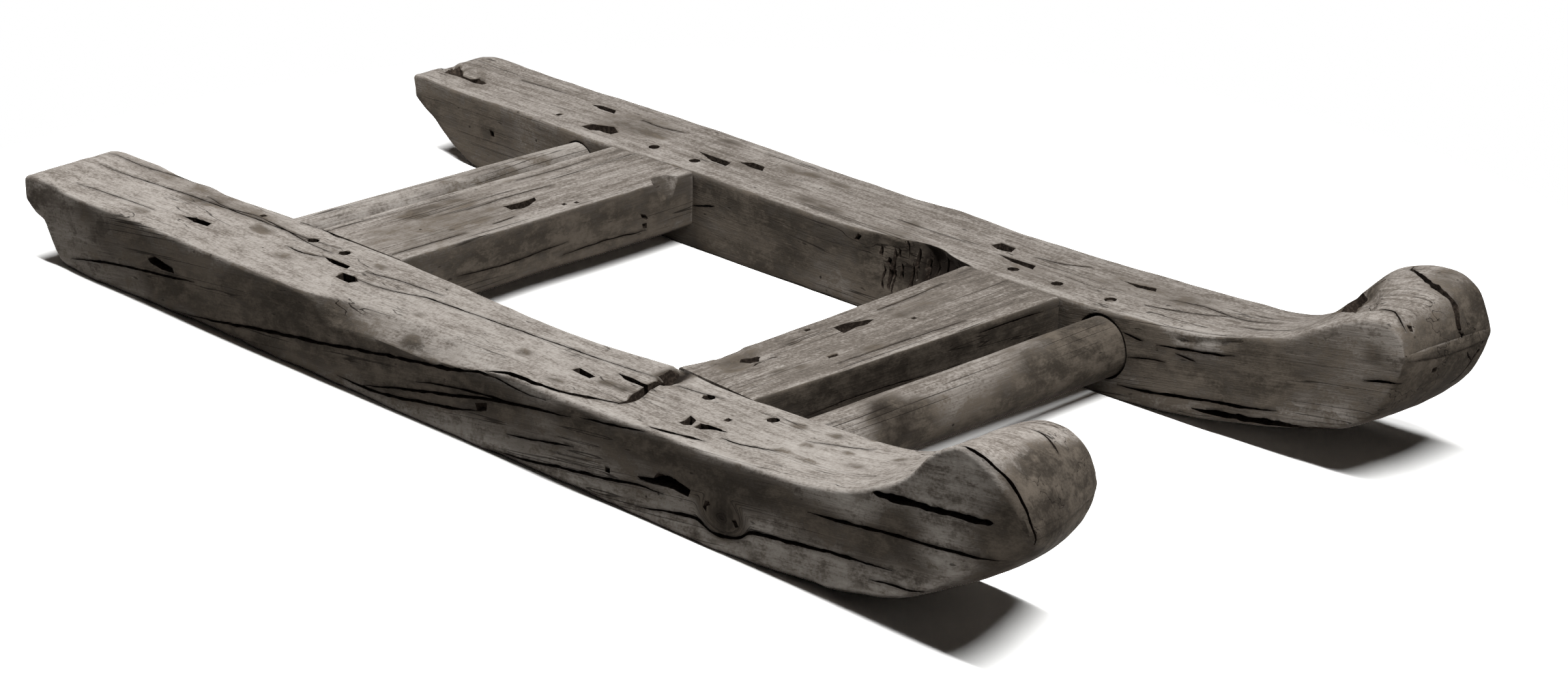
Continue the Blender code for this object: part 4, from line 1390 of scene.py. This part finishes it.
def beam_span(node, sign):
    """Front and rear y of a beam's end at the right (-1) or left (1) runner."""
    front, rear = {
        "cross_beam_front": (FRONT_BEAM_FRONT_EDGE, FRONT_BEAM_REAR_EDGE),
        "cross_beam_rear": (REAR_BEAM_FRONT_EDGE, REAR_BEAM_REAR_EDGE),
    }[node]
    end = 0 if sign < 0 else -1
    return front[end][1] * MM, rear[end][1] * MM


def build_runner(name, ribs, edges, arrises, chin_radius, props, seed):
    """A runner's worn body, before its cuts, and the corners of its sections."""
    corners = runner_sections(*ribs, edges, props.mesh_step / MM)
    sizes = [props.arris * share for share in arrises]
    radii = worn_radii(corners, sizes, seed)
    chin = np.clip((-CHIN_START - corners[:, 0, 1]) / CHIN_EASE, 0, 1)
    crest = np.clip((-CREST_START - corners[:, 3, 1]) / CREST_EASE, 0, 1)
    for k, (where, share) in enumerate(((chin, 1), (chin, 0.4), (crest, 0.4), (crest, 0.8))):
        radii[:, k] += where * chin_radius * share
    rings = rounded_rings(corners, radii, (22, 16), 4)
    rings = closed_ends(rings, (0.005, 0.002))
    runner = skin(name, rings)
    points = vertices_of(runner.data)
    normals = normals_of(runner.data)
    low_x, high_x = sorted((corners[:, 0, 0].mean(), corners[:, 1, 0].mean()))
    share = np.clip((points[:, 0] - low_x) / (high_x - low_x), 0, 1)
    on_nose = np.clip((-CROWN_START - points[:, 1]) / CROWN_EASE, 0, 1)
    crown = 4 * share * (1 - share) * on_nose * np.clip(-normals[:, 1] * 1.5, 0, 1)
    push(runner, crown * CROWN_HEIGHT)
    hew(runner, 1, props.hewing, seed, props.swell)
    return runner, corners


def finish_piece(
    obj, corners, finish_name, grain, props, offset, slot, *nodes, patches=(), spots=(), **look
):
    """Marks the worn edges, partly a painted highlight, the stains and the painted shade, then adds
    the finish.
    """
    points = vertices_of(obj.data)
    normals = normals_of(obj.data)
    wander = 0.5 + 0.5 * noise(points, (0.05,) * 3, 5)
    # The top edges are lightened: rubbed wood, partly a painted highlight.
    wear = np.zeros(len(points))
    if corners is not None:
        top = corners[:, 2:].reshape(-1, 3)
        top = top[top[:, 1] > LAST_WORN_AND_HIGHLIT_EDGE]
        wear = nearness(points, top, EDGE_WEAR_AND_HIGHLIGHT_REACH) * (0.35 + 0.65 * wander)
    stain, pale, soot_and_shade = patch_amounts(points, normals, patches)
    # Faces that look down are darkened as painted shade under each piece, with the dirt of a sole; the
    # patches above one add black rot and painted shade, and dirt lies beside the checks.
    grime = np.maximum(0.5 * np.clip(-normals[:, 2] * 2.2 - 0.5, 0, 1), soot_and_shade)
    if len(spots):
        grime = np.maximum(grime, nearness(points, spots, CHECK_DIRT_REACH) * 0.4)
    upright = 1 - abs(normals[:, 2])
    marks = {"wear": wear, "stain": stain, "pale": pale, "grime": grime, "upright": upright}
    for mark_name, values in marks.items():
        mark(obj, mark_name, values)
    finish = timber_finish(finish_name, grain, props, offset, **look)
    hollow = bpy.data.materials.get("painted_hollow_shade") or painted_hollow_shade("painted_hollow_shade", props)
    dress(obj, finish, hollow, slot, *nodes)


class SLED_OT_runner_right(bpy.types.Operator):
    """Right runner, nearest the viewer"""

    bl_idname = "sled.runner_right"
    bl_label = "Right runner"

    def execute(self, context):
        props = context.scene.sled_timber
        edges = (RIGHT_TOP_OUTER, RIGHT_TOP_INNER, RIGHT_BOTTOM_OUTER, RIGHT_BOTTOM_INNER)
        ribs = (RIGHT_OUTER_RIBS, RIGHT_INNER_RIBS)
        arrises = (1.5, 1.0, 0.35, 0.45)
        runner, corners = build_runner("right_runner_timber", ribs, edges, arrises, 0.024, props, 3)
        shave_shoulder(runner, SHOULDER_FACET)
        press(runner, RIGHT_HOLLOWS, 61)
        settle(runner)
        cutters = mortise_cutters("cut_right", -1) + socket_cutters("cut_right", -1, 0.0025)
        cutters += peg_hole_cutters("cut_right", -1, 0, RUNNER_PEG_ROOM)
        damaged, spots = damage("right", Surface(runner), RIGHT_CHECKS, RIGHT_WELLS, RIGHT_GASHES)
        carve(runner, cutters + damaged)
        finish_piece(
            runner, corners, "right_runner_finish", 1, props, 0.13, "hewn_timber", "runner_right",
            patches=RIGHT_PATCHES, spots=spots, bleach=-0.04, tilt=(0.13, 1.0),
            knots=((-0.431, -0.380, 0.041, 0.027),),
        )
        return {"FINISHED"}


class SLED_OT_runner_left(bpy.types.Operator):
    """Left runner, farthest from the viewer"""

    bl_idname = "sled.runner_left"
    bl_label = "Left runner"

    def execute(self, context):
        props = context.scene.sled_timber
        edges = (LEFT_TOP_OUTER, LEFT_TOP_INNER, LEFT_BOTTOM_OUTER, LEFT_BOTTOM_INNER)
        ribs = (LEFT_OUTER_RIBS, LEFT_INNER_RIBS)
        arrises = (1.0, 1.2, 0.5, 0.45)
        runner, corners = build_runner("left_runner_timber", ribs, edges, arrises, 0.006, props, 23)
        press(runner, LEFT_HOLLOWS, 67)
        settle(runner)
        surface = Surface(runner)
        cutters = mortise_cutters("cut_left", 1) + socket_cutters("cut_left", 1, 0.0042)
        cutters += peg_hole_cutters("cut_left", 0, 1, RUNNER_PEG_ROOM)
        damaged, spots = damage("left", surface, LEFT_CHECKS, LEFT_WELLS)
        cutters += self.rotten_marks(surface)
        carve(runner, cutters + damaged)
        finish_piece(
            runner, corners, "left_runner_finish", 1, props, 0.71, "hewn_timber", "runner_left",
            patches=LEFT_PATCHES, spots=spots, bleach=-0.1, tilt=(0.16, -0.35),
        )
        return {"FINISHED"}

    def rotten_marks(self, surface):
        """Ragged upright pits where the inner side has rotted behind the front beam."""
        chance = np.random.default_rng(11)
        cutters = []
        for k in range(34):
            y = -25 - 165 * chance.random() ** 0.6
            z = 44 + 44 * chance.random()
            wide = 1.0 + 2.4 * chance.random()
            high = 5 + 16 * chance.random()
            lean = 7 * (chance.random() - 0.5)
            outline = (
                (y - wide, z - high),
                (y + wide + lean, z - high * 0.7),
                (y + wide * 0.6, z + high),
                (y - wide, z + high * 0.6),
            )
            deep = 5 + 9 * chance.random()
            cutters.append(well(f"left_rot_{k}", surface, "left_inner", outline, deep, 0.5, 1.4))
        return cutters


def beam_sections(node, front, rear, top_sag, props):
    """Sections of a beam's right tenon, its body and its left tenon.

    Their corners run from the bottom front one over the bottom rear and the top rear to the top front.
    """
    low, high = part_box(node)
    gap = props.joint_gap + 2 * props.swell
    count = int((high.x - low.x) / props.mesh_step)
    share = np.linspace(0, 1, count)
    front_y = along_edge(front, share) * MM
    rear_y = along_edge(rear, share) * MM

    def x_at(y):
        right = along_edge(RIGHT_TOP_INNER, y / MM) * MM + gap
        left = along_edge(LEFT_TOP_INNER, y / MM) * MM - gap
        return right + (left - right) * share

    top = np.full(count, high.z) - top_sag * np.sin(share * math.pi)
    bottom = np.full(count, low.z)
    edges = ((front_y, bottom), (rear_y, bottom), (rear_y, top), (front_y, top))
    body = np.stack([np.stack((x_at(y), y, z), -1) for y, z in edges], 1)
    middle_z = (low.z + high.z) / 2

    def tenon(end, reach):
        y0, y1 = body[end, 0, 1] + TENON_SHOULDER, body[end, 1, 1] - TENON_SHOULDER
        z0, z1 = middle_z - TENON_HALF_THICKNESS, middle_z + TENON_HALF_THICKNESS
        root = np.mean(body[end, :, 0])
        xs = np.linspace(root, reach, 6)
        return np.array([[(x, y0, z0), (x, y1, z0), (x, y1, z1), (x, y0, z1)] for x in xs])

    right = tenon(0, low.x)[::-1]
    left = tenon(-1, high.x)
    return right, body, left


def build_beam(name, node, front, rear, props, seed):
    """A beam's worn body with its tenons, before its cuts, and the corners of its sections."""
    right, body, left = beam_sections(node, front, rear, 0.001, props)
    radii = worn_radii(body, (0.003, 0.003, 0.0025, 0.0022), seed)
    tenon_radii = np.full((len(right), 4), 0.002)
    parts = ((right, tenon_radii), (body, radii), (left, tenon_radii))
    rings = np.concatenate([rounded_rings(part, worn, (28, 14), 4) for part, worn in parts])
    rings = closed_ends(rings, (0.001, 0.001), (0.9, 0.5))
    beam = skin(name, rings)
    hew(beam, 0, props.hewing * 0.6, seed, props.swell)
    return beam, body


def rope_notch_cutter(name, x, edge_y):
    """The scoop that a rope wore through the rear beam's front top edge."""
    radius = 0.022
    back = np.array((x, edge_y + 0.019, DECK))
    down = np.array((x, edge_y, DECK - 0.025))
    along = unit(down - back)
    middle = (back + down) / 2 + np.array((0, along[2], -along[1])) * radius
    rings = tube_rings(middle - along * 0.05, middle + along * 0.05, (radius, radius), 16, 28, 2.0, 0.05)
    return new_cutter(name, rings, 0)


class SLED_OT_beams(bpy.types.Operator):
    """The two plank cross beams, tenoned into the runners"""

    bl_idname = "sled.beams"
    bl_label = "Cross beams"

    def execute(self, context):
        props = context.scene.sled_timber
        self.make_beam(
            props, "rear_beam", "cross_beam_rear", (REAR_BEAM_FRONT_EDGE, REAR_BEAM_REAR_EDGE), 41,
            (REAR_BEAM_CHECKS, REAR_BEAM_WELLS, ()), REAR_BEAM_PATCHES, 0.31, -0.1,
        )
        self.make_beam(
            props, "front_beam", "cross_beam_front", (FRONT_BEAM_FRONT_EDGE, FRONT_BEAM_REAR_EDGE), 57,
            (FRONT_BEAM_CHECKS, FRONT_BEAM_WELLS, FRONT_BEAM_HOLLOWS), FRONT_BEAM_PATCHES, 0.93, -0.2,
        )
        return {"FINISHED"}

    def make_beam(self, props, name, node, edges, seed, marks, patches, offset, bleach):
        """One beam, with its checks, wells and hollows."""
        checks, wells, hollows = marks
        beam, corners = build_beam(f"{name}_timber", node, *edges, props, seed)
        press(beam, hollows, 71)
        cutters = peg_hole_cutters(f"cut_{name}", -1, 1, BEAM_PEG_ROOM)
        if node == "cross_beam_rear":
            cutters.insert(0, rope_notch_cutter("cut_rear_notch", 0.196, 0.287))
        damaged, spots = damage(name, Surface(beam), checks, wells)
        carve(beam, cutters + damaged)
        finish_piece(
            beam, corners, f"{name}_finish", 0, props, offset, "plank_timber", node,
            patches=patches, spots=spots, bleach=bleach,
        )


class SLED_OT_bars(bpy.types.Operator):
    """The two round bars, seated in sockets"""

    bl_idname = "sled.bars"
    bl_label = "Round bars"

    def execute(self, context):
        props = context.scene.sled_timber
        for node, name, seed, sag in (
            ("round_bar_rear", "rear_bar_timber", 5, 0.0015),
            ("round_bar_front", "front_bar_timber", 8, -0.001),
        ):
            (right, right_radius), (left, left_radius) = bar_ends(node)
            rings = tube_rings(right, left, (right_radius, left_radius), 100, 60, seed, 0.008, sag)
            rings = closed_ends(rings, (0.002, 0.002), (0.95, 0.6, 0.2))
            bar = skin(name, rings)
            hew(bar, 0, props.hewing * 0.55, seed)
            carve(bar, peg_hole_cutters("cut_" + name, -1, 1, BEAM_PEG_ROOM, 0.12))
            finish_piece(
                bar, None, name.replace("timber", "finish"), 0, props, seed * 0.11, "pole_timber", node,
                patches=BAR_PATCHES[node], bleach=0.04 if node == "round_bar_rear" else -0.1,
            )
        return {"FINISHED"}


class SLED_OT_pegs(bpy.types.Operator):
    """The whittled pegs through the tenons and the front bar"""

    bl_idname = "sled.pegs"
    bl_label = "Pegs"

    def execute(self, context):
        props = context.scene.sled_timber
        for number, node in enumerate(peg_nodes()):
            low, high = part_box(node)
            middle = (low + high) / 2
            radius = (high.x - low.x) / 2
            top = DECK + 0.001 if node == PROUD_PEG else high.z
            start, end = (middle.x, middle.y, low.z), (middle.x, middle.y, top)
            rings = tube_rings(start, end, (radius * 0.9, radius * 0.97), 14, 24, number, 0.03)
            rings = closed_ends(rings, (0.001, 0.0015), (0.9, 0.6, 0.25))
            peg = skin(node.replace("peg_", "whittled_peg_"), rings)
            hew(peg, 2, 0.0006, number + 70)
            finish_piece(
                peg, None, f"peg_finish_{number}", 2, props, number * 0.17, "peg_timber", node,
                bleach=-0.15 if node == PROUD_PEG else -0.4,
            )
        return {"FINISHED"}


class SLED_OT_stage(bpy.types.Operator):
    """Pale floor, studio lamps and the view of the photograph"""

    bl_idname = "sled.stage"
    bl_label = "Stage"

    def execute(self, context):
        props = context.scene.sled_stage
        self.make_floor(context, props)
        for name, place, share in LAMPS:
            self.make_lamp(context, name, place, props.key_power * share)
        self.make_room(context, props)
        self.make_camera(context, props)
        context.scene.view_settings.view_transform = "Standard"
        return {"FINISHED"}

    def make_floor(self, context, props):
        reach = props.floor_reach
        mesh = bpy.data.meshes.new("studio_floor")
        corners = [(-reach, -reach, 0), (reach, -reach, 0), (reach, reach, 0), (-reach, reach, 0)]
        mesh.from_pydata(corners, [], [(0, 1, 2, 3)])
        floor = bpy.data.objects.new("studio_floor", mesh)
        context.scene.collection.objects.link(floor)
        material = bpy.data.materials.new("pale_floor")
        material.use_nodes = True
        tree = material.node_tree
        tree.nodes.remove(tree.nodes["Principled BSDF"])
        s = Shade(tree)
        white = (props.floor_white, props.floor_white, props.floor_white * 0.99, 1)
        seen = seen_directly(s)
        color = seen.blend(FLOOR_BOUNCE, white)
        paint = s.node("ShaderNodeBsdfDiffuse", None, {"Color": color})
        place = s.node("ShaderNodeTexCoord", None, None, 3)
        away = s.node("ShaderNodeVectorMath", {"operation": "LENGTH"}, {0: place}, 1)
        backdrop = s.node("ShaderNodeEmission", None, {"Color": (1, 1, 1, 1), "Strength": 1.0})
        share = away.step(*FLOOR_FADE) * seen
        surface = s.node("ShaderNodeMixShader", None, {0: share, 1: paint, 2: backdrop})
        tree.links.new(surface.socket, tree.nodes["Material Output"].inputs["Surface"])
        mesh.materials.append(material)

    def make_lamp(self, context, name, place, power):
        light = bpy.data.lights.new(name, "AREA")
        light.shape = "RECTANGLE"
        light.size, light.size_y = LAMP_SIZE
        light.energy = power
        lamp = bpy.data.objects.new(name, light)
        lamp.location = place
        lamp.visible_camera = False
        context.scene.collection.objects.link(lamp)

    def make_room(self, context, props):
        world = bpy.data.worlds.new("studio_room")
        context.scene.world = world
        world.use_nodes = True
        tree = world.node_tree
        background = tree.nodes["Background"]
        s = Shade(tree)
        seen = seen_directly(s)
        strength = seen + (1 - seen) * props.sky
        background.inputs["Color"].default_value = (1, 1, 1, 1)
        tree.links.new(strength.socket, background.inputs["Strength"])

    def make_camera(self, context, props):
        data = bpy.data.cameras.new("photograph_view")
        data.sensor_width = 36
        data.lens = props.focal_length
        camera = bpy.data.objects.new("photograph_view", data)
        azimuth, elevation, roll = (math.radians(a) for a in VIEW_ANGLES)
        level = Vector((math.cos(azimuth), math.sin(azimuth), 0))
        outward = Vector((math.sin(azimuth), -math.cos(azimuth), 0))
        back = outward * math.cos(elevation) + Vector((0, 0, math.sin(elevation)))
        upright = back.cross(level)
        right = math.cos(roll) * level + math.sin(roll) * upright
        up = -math.sin(roll) * level + math.cos(roll) * upright
        turn = Matrix((right, up, back)).transposed().to_4x4()
        camera.matrix_world = Matrix.Translation(VIEW_PLACE) @ turn
        context.scene.collection.objects.link(camera)
        context.scene.camera = camera


def seen_directly(s):
    """1 for camera, mirror and glass rays, so that the background is white in all of them."""
    rays = [s.node("ShaderNodeLightPath", None, None, k) for k in (0, 3, 6)]
    return rays[0].above(rays[1]).above(rays[2])


class SLED_PT_panel(bpy.types.Panel):
    """Lists the sled's pieces and sizes"""

    bl_label = "Sled"
    bl_idname = "SLED_PT_panel"
    bl_space_type = "VIEW_3D"
    bl_region_type = "UI"
    bl_category = "Sled"

    def draw(self, context):
        column = self.layout.column()
        for operator in OPERATORS:
            column.operator(operator.bl_idname)
        for group in (context.scene.sled_timber, context.scene.sled_stage):
            for name in group.__annotations__:
                column.prop(group, name)


OPERATORS = (
    SLED_OT_stage,
    SLED_OT_runner_right,
    SLED_OT_runner_left,
    SLED_OT_beams,
    SLED_OT_bars,
    SLED_OT_pegs,
)
CLASSES = (SledTimberProps, SledStageProps, *OPERATORS, SLED_PT_panel)


def register():
    for cls in CLASSES:
        bpy.utils.register_class(cls)
    bpy.types.Scene.sled_timber = PointerProperty(type=SledTimberProps)
    bpy.types.Scene.sled_stage = PointerProperty(type=SledStageProps)


def unregister():
    del bpy.types.Scene.sled_stage
    del bpy.types.Scene.sled_timber
    for cls in reversed(CLASSES):
        bpy.utils.unregister_class(cls)


def main():
    register()
    bpy.ops.sled.stage()
    bpy.ops.sled.runner_right()
    bpy.ops.sled.runner_left()
    bpy.ops.sled.beams()
    bpy.ops.sled.bars()
    bpy.ops.sled.pegs()


if __name__ == "__main__":
    main()
